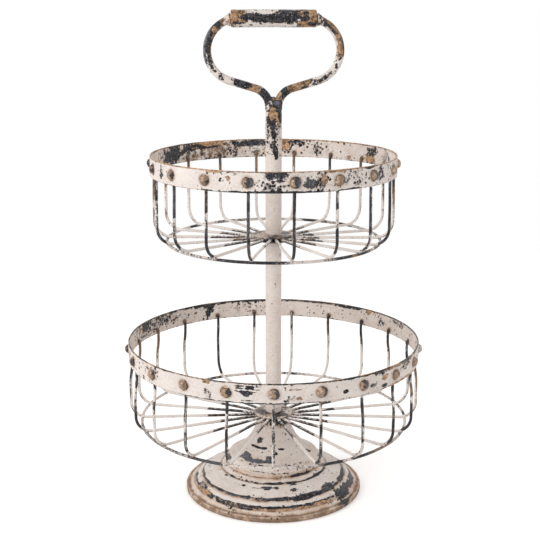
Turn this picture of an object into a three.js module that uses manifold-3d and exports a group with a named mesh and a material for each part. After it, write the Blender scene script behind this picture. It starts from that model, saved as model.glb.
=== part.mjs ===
// Tiered serving stand: a spun foot, a tube post held by a tie rod, two riveted wire baskets
// and a loop handle. Millimetres, +Z up, the front towards -Y, the origin at the middle of
// the foot's underside.
import * as THREE from 'three';
import { mergeVertices } from 'three/addons/utils/BufferGeometryUtils.js';
import Module from 'manifold-3d';

const wasm = await Module();
wasm.setup();

// Fits shared by all pieces
const FIT_GAP = 0.3; // between two pieces that touch
const WELD_SINK = 0.4; // how deep a spoke is welded into its hub plate

// Foot
const FOOT_RADIUS = 108.4;
const FOOT_HEIGHT = 90.5;
const FOOT_WALL = 1.2;
const RIM_HEIGHT = 6.5;
const RIM_WIDTH = 5;
const RIM_ROUND = 2;
const OUTER_STEP_INSET = 12.4; // from the foot's edge
const OUTER_STEP_LIFT = 5; // above the rim
const INNER_STEP_INSET = 9; // from the outer step
const INNER_STEP_LIFT = 7; // above the outer step
const STEP_RISE = 2.5;
const STEP_RUN = 1.5;
const GROOVE_LIFT = 10.7; // above the inner step
const GROOVE_OFFSET = 7.5; // out from the bell
const GROOVE_WIDTH = 2;
const GROOVE_DEPTH = 0.8;
const BELL_RADIUS = 57.5;
const BELL_LIFT = 4.3; // above the groove
const BELL_BEAD_WIDTH = 2;
const BELL_BEAD_DROP = 1;
const BELL_WALL_HEIGHT = 6.5;
const BELL_SHOULDER_RUN = 2.5;
const BELL_SHOULDER_RISE = 5;
const FLARE_PULL_RUN = 29; // how the flare is drawn in above the shoulder
const FLARE_PULL_RISE = 13;
const NECK_RADIUS = 20.5;
const NECK_LENGTH = 3;
const FLARE_STEPS = 5;
const FOOT_SIDES = 32;

// Post and tie rod
const POST_DIAMETER = 19;
const POST_WALL = 1.5;
const LOWER_POST_LENGTH = 215.2;
const UPPER_POST_LENGTH = 144.2;
const POST_SIDES = 24;
const TIE_DIAMETER = 8;
const TIE_TAIL = 6; // thread that shows below the nut
const TIE_IN_CAP = 14;
const CAP_DEPTH = 20;
const CAP_ROOF = 2.5;
const NUT_SIDES = 6;
const NUT_FLATS = 13;
const NUT_HEIGHT = 6.5;
const WASHER_DIAMETER = 24;
const WASHER_THICKNESS = 1.6;

// Baskets
const BAND_HEIGHT = 23;
const BAND_THICKNESS = 1.5;
const WIRE_DIAMETER = 3.5;
const WIRE_SIDES = 6;
const WIRE_LAP = 5.5; // how far a wire reaches up behind its band
const WIRE_BEND_RADIUS = 20;
const BEND_STEPS = 4;
const BOW_START = 6; // below the band, where a wire begins to bow out
const BOW_LENGTH = 26;
const BOW_STEPS = 2;
const SPOKE_END_RADIUS = 14;
const RING_SIDES = 6;
const HUB_TOP_DIAMETER = 47.4;
const HUB_BOTTOM_DIAMETER = 42;
const HUB_PLATE_THICKNESS = 2;
const HUB_SIDES = 32;
const FACETS_PER_RIVET = 3;
const RING_STEPS_PER_RIVET = 2;

const UPPER_BASKET = {
  name: 'upper',
  bandRadius: 144.3,
  depth: 99.6, // from the spokes' middle to the band's top edge
  rivets: 18,
  firstAngle: 9, // degrees from the front, towards +X
  bow: 0.4,
  ringAngle: 13, // where the floor ring sits on the bend, from straight down
};
const LOWER_BASKET = {
  name: 'lower',
  bandRadius: 175,
  depth: 100,
  rivets: 21,
  firstAngle: 0,
  bow: 2.4,
  ringAngle: 20,
};

// Rivets
const RIVET_HEAD_DIAMETER = 13;
const RIVET_HEAD_HEIGHT = 4.3;
const RIVET_SHANK_DIAMETER = 4.4;
const RIVET_TAIL_DIAMETER = 6;
const RIVET_TAIL_HEIGHT = 0.6;
const RIVET_DOME_STEPS = 3;
const RIVET_SIDES = 8;
const DRILL_LENGTH = 6; // of the cut that makes a rivet's hole

// Handle
const ROD_DIAMETER = 9.5;
const ROD_SIDES = 8;
const LEG_LENGTH = 2.2;
const LEG_BEND_RADIUS = 22;
const LEG_BEND_ANGLE = 73.5;
const LEG_BEND_STEPS = 5;
const ARM_LENGTH = 31.2;
const SIDE_RADIUS = 35.7;
const SIDE_STEPS = 10;
const GRIP_DIAMETER = 20;
const GRIP_LENGTH = 98;
const GRIP_PLAY = 0.35;
const GRIP_CHAMFER = 2.5;
const GRIP_CHAMFER_SHARE = 0.8; // the most of the grip's wall that its chamfer takes

// Colours
const CREAM = 0xe2d8cd;
const WORN = 0x8a6a4c;
const STEEL = 0x8d8f94;

const degrees = THREE.MathUtils.degToRad;
const postRadius = POST_DIAMETER / 2;
const tieHoleRadius = TIE_DIAMETER / 2 + FIT_GAP;
const wireRadius = WIRE_DIAMETER / 2;
const rodRadius = ROD_DIAMETER / 2;

const stand = new THREE.Group();

function paint(color, roughness = 0.7, metalness = 0.2) {
  return new THREE.MeshStandardMaterial({ color, roughness, metalness });
}

function piece(name, geometry, material, parent = stand) {
  const mesh = new THREE.Mesh(geometry, material);
  mesh.name = name;
  parent.add(mesh);
  return mesh;
}

// A turned shape about Z; the profile is [radius, z] pairs, counter-clockwise.
function turned(profile, sides, firstAngle = 0) {
  const points = profile.map(([radius, z]) => new THREE.Vector2(radius, z));
  return new THREE.LatheGeometry(points, sides, firstAngle).rotateX(Math.PI / 2);
}

function closed(profile) {
  return [...profile, profile[0]];
}

// A round plate or tube between two heights.
function plate(outer, inner, bottom, top, sides) {
  return turned(closed([[inner, bottom], [outer, bottom], [outer, top], [inner, top]]), sides);
}

function toSolid(geometry) {
  const bare = geometry.clone();
  bare.deleteAttribute('normal');
  bare.deleteAttribute('uv');
  const welded = mergeVertices(bare);
  const vertProperties = new Float32Array(welded.attributes.position.array);
  const triVerts = new Uint32Array(welded.index.array);
  return new wasm.Manifold(new wasm.Mesh({ numProp: 3, vertProperties, triVerts }));
}

function toGeometry(solid) {
  const { vertProperties, triVerts } = solid.getMesh();
  const geometry = new THREE.BufferGeometry();
  geometry.setAttribute('position', new THREE.BufferAttribute(vertProperties, 3));
  geometry.setIndex(new THREE.BufferAttribute(triVerts, 1));
  return geometry;
}

// A path drawn in a plane by a pen that runs straight and turns; toSpace lifts a plane point into space.
class BentPath extends THREE.Curve {
  constructor(start, heading, toSpace) {
    super();
    this.toSpace = toSpace;
    this.pen = start.clone();
    this.heading = heading;
    this.stations = [];
    this.mark();
  }

  mark() {
    this.stations.push({ point: this.pen.clone(), heading: this.heading });
  }

  run(length) {
    this.pen.add(new THREE.Vector2(Math.cos(this.heading), Math.sin(this.heading)).multiplyScalar(length));
    this.mark();
    return this;
  }

  // A positive angle turns left.
  turn(radius, angle, steps) {
    const side = Math.sign(angle) * radius;
    const centre = this.pen.clone();
    centre.add(new THREE.Vector2(-Math.sin(this.heading), Math.cos(this.heading)).multiplyScalar(side));
    for (let i = 0; i < steps; i++) {
      this.heading += angle / steps;
      this.pen.set(Math.sin(this.heading), -Math.cos(this.heading)).multiplyScalar(side).add(centre);
      this.mark();
    }
    return this;
  }

  // A smooth side step while running on; a positive offset goes left.
  sidestep(length, offset, steps) {
    const start = this.pen.clone();
    const heading = this.heading;
    const ahead = new THREE.Vector2(Math.cos(heading), Math.sin(heading));
    const left = new THREE.Vector2(-ahead.y, ahead.x);
    for (let i = 1; i <= steps; i++) {
      const phase = (Math.PI * i) / steps;
      this.pen.copy(start).addScaledVector(ahead, (length * i) / steps);
      this.pen.addScaledVector(left, (offset * (1 - Math.cos(phase))) / 2);
      this.heading = heading + Math.atan2((offset * Math.PI * Math.sin(phase)) / 2, length);
      this.mark();
    }
    return this;
  }

  locate(t) {
    const place = t * (this.stations.length - 1);
    const index = Math.min(Math.floor(place), this.stations.length - 2);
    return { from: this.stations[index], to: this.stations[index + 1], share: place - index };
  }

  getPoint(t) {
    const { from, to, share } = this.locate(t);
    return this.toSpace(from.point.clone().lerp(to.point, share));
  }

  getTangent(t) {
    const { from, to, share } = this.locate(t);
    const heading = THREE.MathUtils.lerp(from.heading, to.heading, share);
    const origin = this.toSpace(new THREE.Vector2());
    return this.toSpace(new THREE.Vector2(Math.cos(heading), Math.sin(heading))).sub(origin);
  }

  getUtoTmapping(u) {
    return u;
  }
}

// A round bar along a path, with one ring of points at each station.
function bar(path, radius, sides) {
  const section = new THREE.Shape();
  for (let i = 0; i < sides; i++) {
    const angle = (2 * Math.PI * i) / sides;
    const x = radius * Math.cos(angle);
    const y = radius * Math.sin(angle);
    if (i === 0) section.moveTo(x, y);
    else section.lineTo(x, y);
  }
  section.closePath();
  return new THREE.ExtrudeGeometry(section, { steps: path.stations.length - 1, extrudePath: path });
}

// The foot's skin from the top of its rim to the top of its neck, as [radius, z] pairs.
function footSkin() {
  const outerStep = FOOT_RADIUS - OUTER_STEP_INSET;
  const outerStepZ = RIM_HEIGHT + OUTER_STEP_LIFT;
  const innerStep = outerStep - INNER_STEP_INSET;
  const innerStepZ = outerStepZ + INNER_STEP_LIFT;
  const groove = BELL_RADIUS + GROOVE_OFFSET;
  const grooveZ = innerStepZ + GROOVE_LIFT;
  const bellZ = grooveZ + BELL_LIFT;
  const shoulderZ = bellZ + BELL_WALL_HEIGHT;
  const flareStart = new THREE.Vector2(BELL_RADIUS - BELL_SHOULDER_RUN, shoulderZ + BELL_SHOULDER_RISE);
  const flarePull = new THREE.Vector2(flareStart.x - FLARE_PULL_RUN, flareStart.y + FLARE_PULL_RISE);
  const flareEnd = new THREE.Vector2(NECK_RADIUS, FOOT_HEIGHT - NECK_LENGTH);
  const flare = new THREE.QuadraticBezierCurve(flareStart, flarePull, flareEnd);
  return [
    [FOOT_RADIUS - RIM_ROUND - STEP_RUN, RIM_HEIGHT],
    [outerStep + STEP_RUN, outerStepZ],
    [outerStep, outerStepZ + STEP_RISE],
    [innerStep + STEP_RUN, innerStepZ],
    [innerStep, innerStepZ + STEP_RISE],
    [groove + GROOVE_WIDTH / 2, grooveZ],
    [groove, grooveZ],
    [groove - GROOVE_WIDTH / 2, grooveZ + GROOVE_DEPTH],
    [BELL_RADIUS + BELL_BEAD_WIDTH, bellZ - BELL_BEAD_DROP],
    [BELL_RADIUS, bellZ],
    [BELL_RADIUS, shoulderZ],
    ...flare.getPoints(FLARE_STEPS).map((point) => [point.x, point.y]),
    [NECK_RADIUS, FOOT_HEIGHT],
  ];
}

function buildFoot() {
  const skin = footSkin();
  const rimInside = FOOT_RADIUS - RIM_WIDTH;
  const rim = [
    [rimInside, 0],
    [FOOT_RADIUS - RIM_ROUND, 0],
    [FOOT_RADIUS, RIM_ROUND],
    [FOOT_RADIUS, RIM_HEIGHT - RIM_ROUND],
    [FOOT_RADIUS - RIM_ROUND, RIM_HEIGHT],
  ];
  const inward = ([radius, z]) => [Math.min(radius - FOOT_WALL, rimInside), z - FOOT_WALL];
  const lining = skin.map(inward).reverse();
  const hole = [[tieHoleRadius, FOOT_HEIGHT], [tieHoleRadius, FOOT_HEIGHT - FOOT_WALL]];
  piece('foot_shell', turned(closed([...rim, ...skin, ...hole, ...lining]), FOOT_SIDES), paint(CREAM));
}

// The tie rod, with its washer and nut up inside the foot's neck.
function buildTie(capBottom) {
  const washerTop = FOOT_HEIGHT - FOOT_WALL - FIT_GAP;
  const washerBottom = washerTop - WASHER_THICKNESS;
  const nutTop = washerBottom - FIT_GAP;
  const nutBottom = nutTop - NUT_HEIGHT;
  const radius = TIE_DIAMETER / 2;
  const top = capBottom + TIE_IN_CAP;
  const bottom = nutBottom - TIE_TAIL;
  const rod = [[0, bottom], [radius, bottom], [radius, top], [0, top]];
  const washer = plate(WASHER_DIAMETER / 2, tieHoleRadius, washerBottom, washerTop, POST_SIDES);
  piece('foot_washer', washer, paint(STEEL));
  piece('tie_rod', turned(rod, POST_SIDES), paint(STEEL));

  const outline = new THREE.Shape();
  const corner = NUT_FLATS / 2 / Math.cos(Math.PI / NUT_SIDES);
  const corners = Array.from({ length: NUT_SIDES }, (_, i) => (2 * Math.PI * i) / NUT_SIDES);
  outline.setFromPoints(corners.map((a) => new THREE.Vector2(corner * Math.cos(a), corner * Math.sin(a))));
  outline.holes.push(new THREE.Path().absarc(0, 0, tieHoleRadius, 0, 2 * Math.PI, true));
  const extrusion = { depth: NUT_HEIGHT, bevelEnabled: false, curveSegments: POST_SIDES };
  const nut = new THREE.ExtrudeGeometry(outline, extrusion);
  piece('foot_nut', nut, paint(STEEL)).position.z = nutBottom;
}

function buildTube(name, bottom, length) {
  const tube = plate(postRadius, postRadius - POST_WALL, bottom, bottom + length, POST_SIDES);
  piece(name, tube, paint(CREAM));
}

function rivetGeometry() {
  const headRadius = RIVET_HEAD_DIAMETER / 2;
  const shankRadius = RIVET_SHANK_DIAMETER / 2;
  const tailTop = -BAND_THICKNESS - FIT_GAP;
  const tailBottom = tailTop - RIVET_TAIL_HEIGHT;
  const dome = Array.from({ length: RIVET_DOME_STEPS }, (_, i) => {
    const angle = (Math.PI / 2) * (i / RIVET_DOME_STEPS);
    return [headRadius * Math.cos(angle), FIT_GAP + RIVET_HEAD_HEIGHT * Math.sin(angle)];
  });
  const profile = [
    [0, tailBottom],
    [RIVET_TAIL_DIAMETER / 2, tailBottom],
    [shankRadius, tailTop],
    [shankRadius, FIT_GAP],
    ...dome,
    [0, FIT_GAP + RIVET_HEAD_HEIGHT],
  ];
  return turned(profile, RIVET_SIDES);
}

// The rim strip: a flat facet under each rivet, and a hole through it there.
function bandGeometry(basket, bottom) {
  const facets = basket.rivets * FACETS_PER_RIVET;
  const step = (2 * Math.PI) / facets;
  const spread = 1 / Math.cos(step / 2);
  const outer = basket.bandRadius * spread;
  const inner = (basket.bandRadius - BAND_THICKNESS) * spread;
  const top = bottom + BAND_HEIGHT;
  const profile = closed([[inner, bottom], [outer, bottom], [outer, top], [inner, top]]);
  let band = toSolid(turned(profile, facets, degrees(basket.firstAngle) - step / 2));
  const holeRadius = RIVET_SHANK_DIAMETER / 2 + FIT_GAP;
  for (let i = 0; i < basket.rivets; i++) {
    const drill = new THREE.CylinderGeometry(holeRadius, holeRadius, DRILL_LENGTH, RIVET_SIDES);
    drill.translate(0, -basket.bandRadius, bottom + BAND_HEIGHT / 2);
    drill.rotateZ(rivetAngle(basket, i));
    band = band.subtract(toSolid(drill));
  }
  return toGeometry(band);
}

function rivetAngle(basket, index) {
  return degrees(basket.firstAngle + (360 / basket.rivets) * index);
}

function wireTopRadius(basket) {
  return basket.bandRadius - BAND_THICKNESS - FIT_GAP - wireRadius;
}

// How far the faceted bend's middle line lies from the bend's centre, at an angle from straight down.
function bendReach(angle) {
  const step = Math.PI / 2 / BEND_STEPS;
  const offMiddle = (angle % step) - step / 2;
  return (WIRE_BEND_RADIUS * Math.cos(step / 2)) / Math.cos(offMiddle);
}

// One wire in the plane of the front: down behind the band, round the bend and in to the hub.
function wireGeometry(basket, spokeZ, bandBottom) {
  const topRadius = wireTopRadius(basket);
  const top = bandBottom + WIRE_LAP;
  const bowTop = bandBottom - BOW_START;
  const bendTop = spokeZ + WIRE_BEND_RADIUS;
  const down = -Math.PI / 2;
  const path = new BentPath(new THREE.Vector2(topRadius, top), down, (p) => new THREE.Vector3(0, -p.x, p.y));
  path.run(top - bowTop);
  path.sidestep(BOW_LENGTH, basket.bow, BOW_STEPS);
  path.run(bowTop - BOW_LENGTH - bendTop);
  path.turn(WIRE_BEND_RADIUS, down, BEND_STEPS);
  path.run(topRadius + basket.bow - WIRE_BEND_RADIUS - SPOKE_END_RADIUS);
  return bar(path, wireRadius, WIRE_SIDES);
}

// All the wires of a basket, welded to the plate under their inner ends.
function cageGeometry(basket, spokeZ, bandBottom) {
  const plateTop = spokeZ - wireRadius + WELD_SINK;
  const plateBottom = plateTop - HUB_PLATE_THICKNESS;
  let cage = toSolid(plate(HUB_BOTTOM_DIAMETER / 2, tieHoleRadius, plateBottom, plateTop, HUB_SIDES));
  const wire = wireGeometry(basket, spokeZ, bandBottom);
  for (let i = 0; i < basket.rivets; i++) {
    cage = cage.add(toSolid(wire.clone().rotateZ(rivetAngle(basket, i))));
  }
  return toGeometry(cage);
}

// A basket whose lower hub plate starts at seatZ; returns the top of its upper hub plate.
function buildBasket(basket, seatZ) {
  const spokeZ = seatZ + HUB_PLATE_THICKNESS - WELD_SINK + wireRadius;
  const bandBottom = spokeZ + basket.depth - BAND_HEIGHT;
  const hubBottom = spokeZ + wireRadius + FIT_GAP;
  const hubTop = hubBottom + HUB_PLATE_THICKNESS;
  const group = new THREE.Group();
  stand.add(group);

  piece(`${basket.name}_band`, bandGeometry(basket, bandBottom), paint(CREAM), group);
  piece(`${basket.name}_wire_cage`, cageGeometry(basket, spokeZ, bandBottom), paint(CREAM), group);
  const topPlate = plate(HUB_TOP_DIAMETER / 2, tieHoleRadius, hubBottom, hubTop, HUB_SIDES);
  piece(`${basket.name}_hub_plate`, topPlate, paint(CREAM), group);

  const bendCentre = wireTopRadius(basket) + basket.bow - WIRE_BEND_RADIUS;
  const lean = degrees(basket.ringAngle);
  const flats = wireRadius * (Math.cos(Math.PI / WIRE_SIDES) + Math.cos(Math.PI / RING_SIDES));
  const reach = bendReach(lean) + flats + FIT_GAP;
  const ringRadius = bendCentre + reach * Math.sin(lean);
  const ringSteps = basket.rivets * RING_STEPS_PER_RIVET;
  const ring = new THREE.TorusGeometry(ringRadius, wireRadius, RING_SIDES, ringSteps);
  const ringMesh = piece(`${basket.name}_floor_ring`, ring, paint(CREAM), group);
  ringMesh.rotation.z = degrees(basket.firstAngle) - Math.PI / 2;
  ringMesh.position.z = spokeZ + WIRE_BEND_RADIUS - reach * Math.cos(lean);

  for (let i = 0; i < basket.rivets; i++) {
    const spot = new THREE.Group();
    spot.rotation.z = rivetAngle(basket, i);
    group.add(spot);
    const number = String(i + 1).padStart(2, '0');
    const rivet = piece(`${basket.name}_rivet_${number}`, rivetGeometry(), paint(WORN, 0.55, 0.5), spot);
    rivet.position.set(0, -basket.bandRadius, bandBottom + BAND_HEIGHT / 2);
    rivet.rotation.x = Math.PI / 2;
  }
  return hubTop;
}

// The cap that plugs the post: the tie rod enters it from below, the handle stands on it. Returns its top.
function buildCap(postTop) {
  const capBottom = postTop - CAP_DEPTH;
  const holeTop = capBottom + TIE_IN_CAP + FIT_GAP;
  const plugRadius = postRadius - POST_WALL - FIT_GAP;
  const seat = postTop + FIT_GAP;
  const top = seat + CAP_ROOF;
  const profile = [
    [0, holeTop],
    [tieHoleRadius, holeTop],
    [tieHoleRadius, capBottom],
    [plugRadius, capBottom],
    [plugRadius, seat],
    [postRadius, seat],
    [postRadius, top],
    [0, top],
  ];
  piece('post_cap', turned(profile, POST_SIDES), paint(WORN));
  buildTie(capBottom);
  return top;
}

// The handle's rod, from one leg on the cap over the top to the other, and the grip on its straight top.
function buildHandle(capTop) {
  const legX = rodRadius + FIT_GAP;
  const legBend = degrees(LEG_BEND_ANGLE);
  const sideTurn = Math.PI / 2 + legBend;
  const up = Math.PI / 2;
  const start = new THREE.Vector2(-legX, capTop + FIT_GAP);
  const path = new BentPath(start, up, (p) => new THREE.Vector3(p.x, 0, p.y));
  path.run(LEG_LENGTH);
  path.turn(LEG_BEND_RADIUS, legBend, LEG_BEND_STEPS);
  path.run(ARM_LENGTH);
  path.turn(SIDE_RADIUS, -sideTurn, SIDE_STEPS);
  const gripZ = path.pen.y;
  const straight = -2 * path.pen.x;
  path.run(straight);
  path.turn(SIDE_RADIUS, -sideTurn, SIDE_STEPS);
  path.run(ARM_LENGTH);
  path.turn(LEG_BEND_RADIUS, legBend, LEG_BEND_STEPS);
  path.run(LEG_LENGTH);
  piece('handle_rod', bar(path, rodRadius, ROD_SIDES), paint(WORN, 0.5, 0.4));

  const overhang = Math.max(0, (GRIP_LENGTH - straight) / 2);
  const rodLow = SIDE_RADIUS - Math.sqrt((SIDE_RADIUS - rodRadius) ** 2 - overhang ** 2);
  const bore = (rodLow + GRIP_PLAY) / Math.cos(Math.PI / POST_SIDES);
  const outer = GRIP_DIAMETER / 2;
  const half = GRIP_LENGTH / 2;
  const chamfer = Math.min(GRIP_CHAMFER, (outer - bore) * GRIP_CHAMFER_SHARE);
  const profile = closed([
    [bore, -half],
    [outer - chamfer, -half],
    [outer, chamfer - half],
    [outer, half - chamfer],
    [outer - chamfer, half],
    [bore, half],
  ]);
  const grip = piece('handle_grip', turned(profile, POST_SIDES), paint(WORN, 0.5, 0.4));
  grip.rotation.y = Math.PI / 2;
  grip.position.z = gripZ;
}

buildFoot();
const lowerHubTop = buildBasket(LOWER_BASKET, FOOT_HEIGHT + FIT_GAP);
const lowerPostBottom = lowerHubTop + FIT_GAP;
const lowerPostTop = lowerPostBottom + LOWER_POST_LENGTH;
buildTube('lower_post', lowerPostBottom, LOWER_POST_LENGTH);
const upperHubTop = buildBasket(UPPER_BASKET, lowerPostTop + FIT_GAP);
const upperPostBottom = upperHubTop + FIT_GAP;
buildTube('upper_post', upperPostBottom, UPPER_POST_LENGTH);
const capTop = buildCap(upperPostBottom + UPPER_POST_LENGTH);
buildHandle(capTop);

export default stand;
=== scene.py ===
import math
import random
from types import SimpleNamespace

import bmesh
import bpy
import numpy as np
from mathutils import Matrix, Vector, noise


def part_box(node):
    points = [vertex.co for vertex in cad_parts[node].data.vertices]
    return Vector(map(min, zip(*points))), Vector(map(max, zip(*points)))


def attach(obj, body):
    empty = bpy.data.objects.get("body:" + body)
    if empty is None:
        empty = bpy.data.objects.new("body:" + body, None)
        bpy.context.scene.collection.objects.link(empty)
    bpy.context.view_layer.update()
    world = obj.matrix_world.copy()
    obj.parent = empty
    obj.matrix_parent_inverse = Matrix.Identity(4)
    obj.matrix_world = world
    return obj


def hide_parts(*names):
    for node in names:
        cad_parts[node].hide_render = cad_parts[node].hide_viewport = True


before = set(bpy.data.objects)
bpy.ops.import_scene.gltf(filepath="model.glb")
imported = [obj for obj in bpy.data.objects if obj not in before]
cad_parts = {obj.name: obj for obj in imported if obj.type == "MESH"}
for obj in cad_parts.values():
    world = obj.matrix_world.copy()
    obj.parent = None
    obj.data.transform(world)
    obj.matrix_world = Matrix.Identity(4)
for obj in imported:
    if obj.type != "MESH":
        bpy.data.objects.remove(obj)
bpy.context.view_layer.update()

# Shapes are drawn in millimetres and scaled to metres when they become meshes
MM = 0.001
UP = Vector((0, 0, 1))
SHARP_ANGLE = math.radians(42)

# Camera, in metres and degrees
CAMERA_PLACE = (-0.0042, -1.3051, 0.5917)
CAMERA_TILT = 76.44
CAMERA_LENS = 74.7
SENSOR_WIDTH = 36.0

# Studio, in metres and watts; a lamp is its place, size and power
FLOOR_REACH = 8.0
FLOOR_DROP = 0.0003
FLOOR_GREY = 0.86
FLOOR_ROUGHNESS = 0.9
FLOOR_LIFT = 0.34
FLOOR_FADE = (0.5, 1.6)
WHITE = (1, 1, 1, 1)
ROOM = (255, 250, 245)
ROOM_LIGHT = 0.6
LAMP_AIM = Vector((0, 0, 0.28))
LAMPS = {
    "key": ((-1.7, -1.2, 1.3), 1.2, 26),
    "fill": ((1.6, -0.9, 1.0), 1.4, 6),
    "back": ((0.3, 1.6, 1.5), 1.4, 7),
}

# Baskets: radius, rivets, angle of the first rivet and how far the wires bow in. Then their wear: how far
# out the spokes are bare, bronze on the rim's edge, tone of the wires behind, rivets that kept their
# charcoal, range of rivet wear, rivets with a wear and bronze of their own, wear of the spokes, wires of one
# level of wear, and wires by the shares of their drop where the bare top ends, where they are bare again and
# where that ends
BASKETS = [
    SimpleNamespace(
        name="upper",
        radius=144.3,
        rivets=18,
        first=9,
        bow=0.4,
        bare=66,
        edge=0.8,
        back_tone=(0.4, 1),
        dark_rivets=(0, 17, 12, 6),
        rivet_wear=(0.62, 0.8),
        rivet_marks={2: (0.85, 0.5), 15: (0.66, 1.2), 16: (0.66, 1.3)},
        spoke=0.58,
        wire_levels={17: 0.85, 3: 0.85},
        wire_runs={
            0: (0.95, 1, 1), 1: (0.3, 0.6, 0.9), 2: (0, 0.1, 0.7), 15: (0.5, 0.6, 0.95), 16: (0.35, 0.6, 1),
        },
    ),
    SimpleNamespace(
        name="lower",
        radius=175.0,
        rivets=21,
        first=0,
        bow=2.4,
        bare=86,
        edge=0.4,
        back_tone=(-0.1, 0.8),
        dark_rivets=(2, 9, 14),
        rivet_wear=(0.56, 0.7),
        rivet_marks={
            0: (0.66, 0.62), 3: (0.85, 0.45), 4: (0.85, 0.45),
            18: (0.64, 1.2), 19: (0.66, 1.05), 20: (0.7, 0.8),
        },
        spoke=0.74,
        wire_levels={0: 0.28, 12: 0.85},
        wire_runs={
            1: (0, 0.4, 1), 2: (0, 0.12, 0.75), 3: (0.3, 0.6, 0.95),
            18: (0.14, 0.3, 0.45), 19: (0, 0.1, 0.9), 20: (0.25, 0.5, 0.9),
        },
    ),
]
FIT_GAP = 0.3
BOLT_BORE = 4.3
PLATE_STEPS = 96
HUB_ROUND = (0.7, 0.9)
HUB_ROWS = (0.85, 0.7, 0.55, 0.4)
UNDER_PLATE = 2.0
UNDER_PLATE_RADIUS = 21.0
UNDER_PLATE_ROUND = (0.5, 0.5)
UNDER_PLATE_STEPS = 72

# Rim bands; what is uneven is a strength and the size of the lumps, for a sway in shares of the radius
BAND_HEIGHT = 23.0
BAND_THICKNESS = 1.5
BAND_EDGE = 0.55
BAND_STEPS = 600
BAND_ROWS = 26
BAND_SWAY = (0.3, 1 / 5)
BAND_LIFT = (0.18, 14)
BAND_HUMP = (0.08, 6)

# Wires and their welds
WIRE_RADIUS = 1.75
WIRE_SIDES = 10
WIRE_LAP = 5.5
WIRE_STEP = 3.0
WIRE_LUMPS = (0.05, 9)
WIRE_SWAY = 0.9
WIRE_WAVE = (0.35, 9)
WIRE_HOLD = 0.7
BEND_RADIUS = 20.0
BEND_POINTS = 10
BOW_START = 6.0
BOW_LENGTH = 26.0
BOW_POINTS = 8
SPOKE_END = 14.0
WELD_SIZE = (2.8, 1.25, 3.0)
WELD_OUT = 1.2
WELD_DROP = 1.0
WELD_SINK = 0.4
WELD_LUMPS = (0.16, 1 / 1.7)
RING_STEPS = 240
RING_SWAY = (0.25, 1 / 6)
RING_WELD = (2.3, 2.3, 1.7)
RING_WELD_IN = 0.6
RING_WELD_RISE = 1.4
RING_WELD_SEED = 40

# Rivets, as [radius, height] over the band from the tail up to the dome
RIVET_RADIUS = 6.5
RIVET_DOME = 4.0
RIVET_FLANGE = 0.6
RIVET_SHANK = 2.2
RIVET_TAIL = 3.0
RIVET_SIDES = 28
RIVET_DENT = 0.35
DOME_RADIUS = 5.4
DOME_FOOT = 0.66
DOME_POINTS = 9
TAIL_TOP = -BAND_THICKNESS - FIT_GAP
RIVET_PROFILE = [
    (0.5, TAIL_TOP - 0.5), (RIVET_TAIL - 0.5, TAIL_TOP - 0.45), (RIVET_TAIL, TAIL_TOP - 0.1),
    (RIVET_SHANK, TAIL_TOP), (RIVET_SHANK, 0.02), (RIVET_RADIUS - 0.2, 0.02), (RIVET_RADIUS, 0.2),
    (RIVET_RADIUS - 0.1, 0.5), (RIVET_RADIUS - 0.5, RIVET_FLANGE), (DOME_RADIUS + 0.3, RIVET_FLANGE),
]

# Foot, as [radius, height, corner rounding]
FOOT_WALL = 1.2
FOOT_TURN_STEPS = 320
FOOT_SPACING = 1.6
FOOT_DENTS = (0.22, 24, 24)
FOOT_RIM = [(103.4, 0, 0.6), (108.4, 0, 2.6), (108.4, 6.5, 2.8), (105.2, 6.4, 0.6)]
FOOT_PROFILE = [
    (97.8, 11, 1.2), (96, 14, 1.3), (88.8, 18, 1.2), (87, 21, 1.4), (66.3, 29.1, 0.5), (65.5, 28.5, 0.3),
    (64.4, 29, 0.3), (63.8, 30.2, 0.5), (60, 32, 0.4), (59.2, 33.6, 0.8), (57.6, 33.8, 0.4),
    (57.2, 39.5, 2.5),
]
FLARE = [(55.0, 45.0), (26.0, 58.0), (20.5, 87.5)]
FLARE_POINTS = 22
NECK_RADIUS = 20.5
NECK_EDGE = (0.8, 1)
FOOT_HEIGHT = 90.5

# Post, cap and handle; the collar of weld is [radius, height over the cap, corner rounding]
POST_RADIUS = 9.5
POST_WALL = 1.5
POST_EDGE = 0.4
POST_SIDES = 72
POST_ROW = 2.0
POST_DENTS = (0.08, 13, 13)
ROD_RADIUS = 4.75
ROD_SIDES = 20
ROD_LUMPS = (0.035, 11)
LEG_X = 5.05
LEG_LENGTH = 2.2
LEG_BEND_RADIUS = 22.0
LEG_BEND_ANGLE = math.radians(73.5)
LEG_BEND_POINTS = 14
ARM_LENGTH = 31.2
SIDE_RADIUS = 35.7
SIDE_POINTS = 96
SHOULDER_LENGTH = 7.0
SHOULDER_GAP = 0.4
SHOULDER_RISE = 3.9
SHOULDER_CURVE = 1.4
CAP_RISE = 2.5
COLLAR = [(0.3, -2.7, 0), (POST_RADIUS + 0.1, -2.7, 0.2), (POST_RADIUS + 0.1, 2, 1.5), (0.3, 2.4, 0)]
COLLAR_SIDES = 48
NECK_LEG_POINTS = 14
NECK_LEG_RADIUS = ROD_RADIUS + 0.25
NECK_FILL = (5.2, 4.6, 8.5)
NECK_FILL_RISE = 6
NECK_FILL_SEED = 3
NECK_VOXEL = 0.7
NECK_SMOOTHING = 6
GRIP_RADIUS = 10.0
GRIP_LENGTH = 98.0
GRIP_BORE = 6.35
GRIP_ROUND = (2.4, 2.4)
GRIP_ROUND_SHARE = 0.75
GRIP_ROWS = 44
GRIP_STEPS = 64
GRIP_DENTS = (0.2, 7, 13, GRIP_BORE + 0.5)

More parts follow.
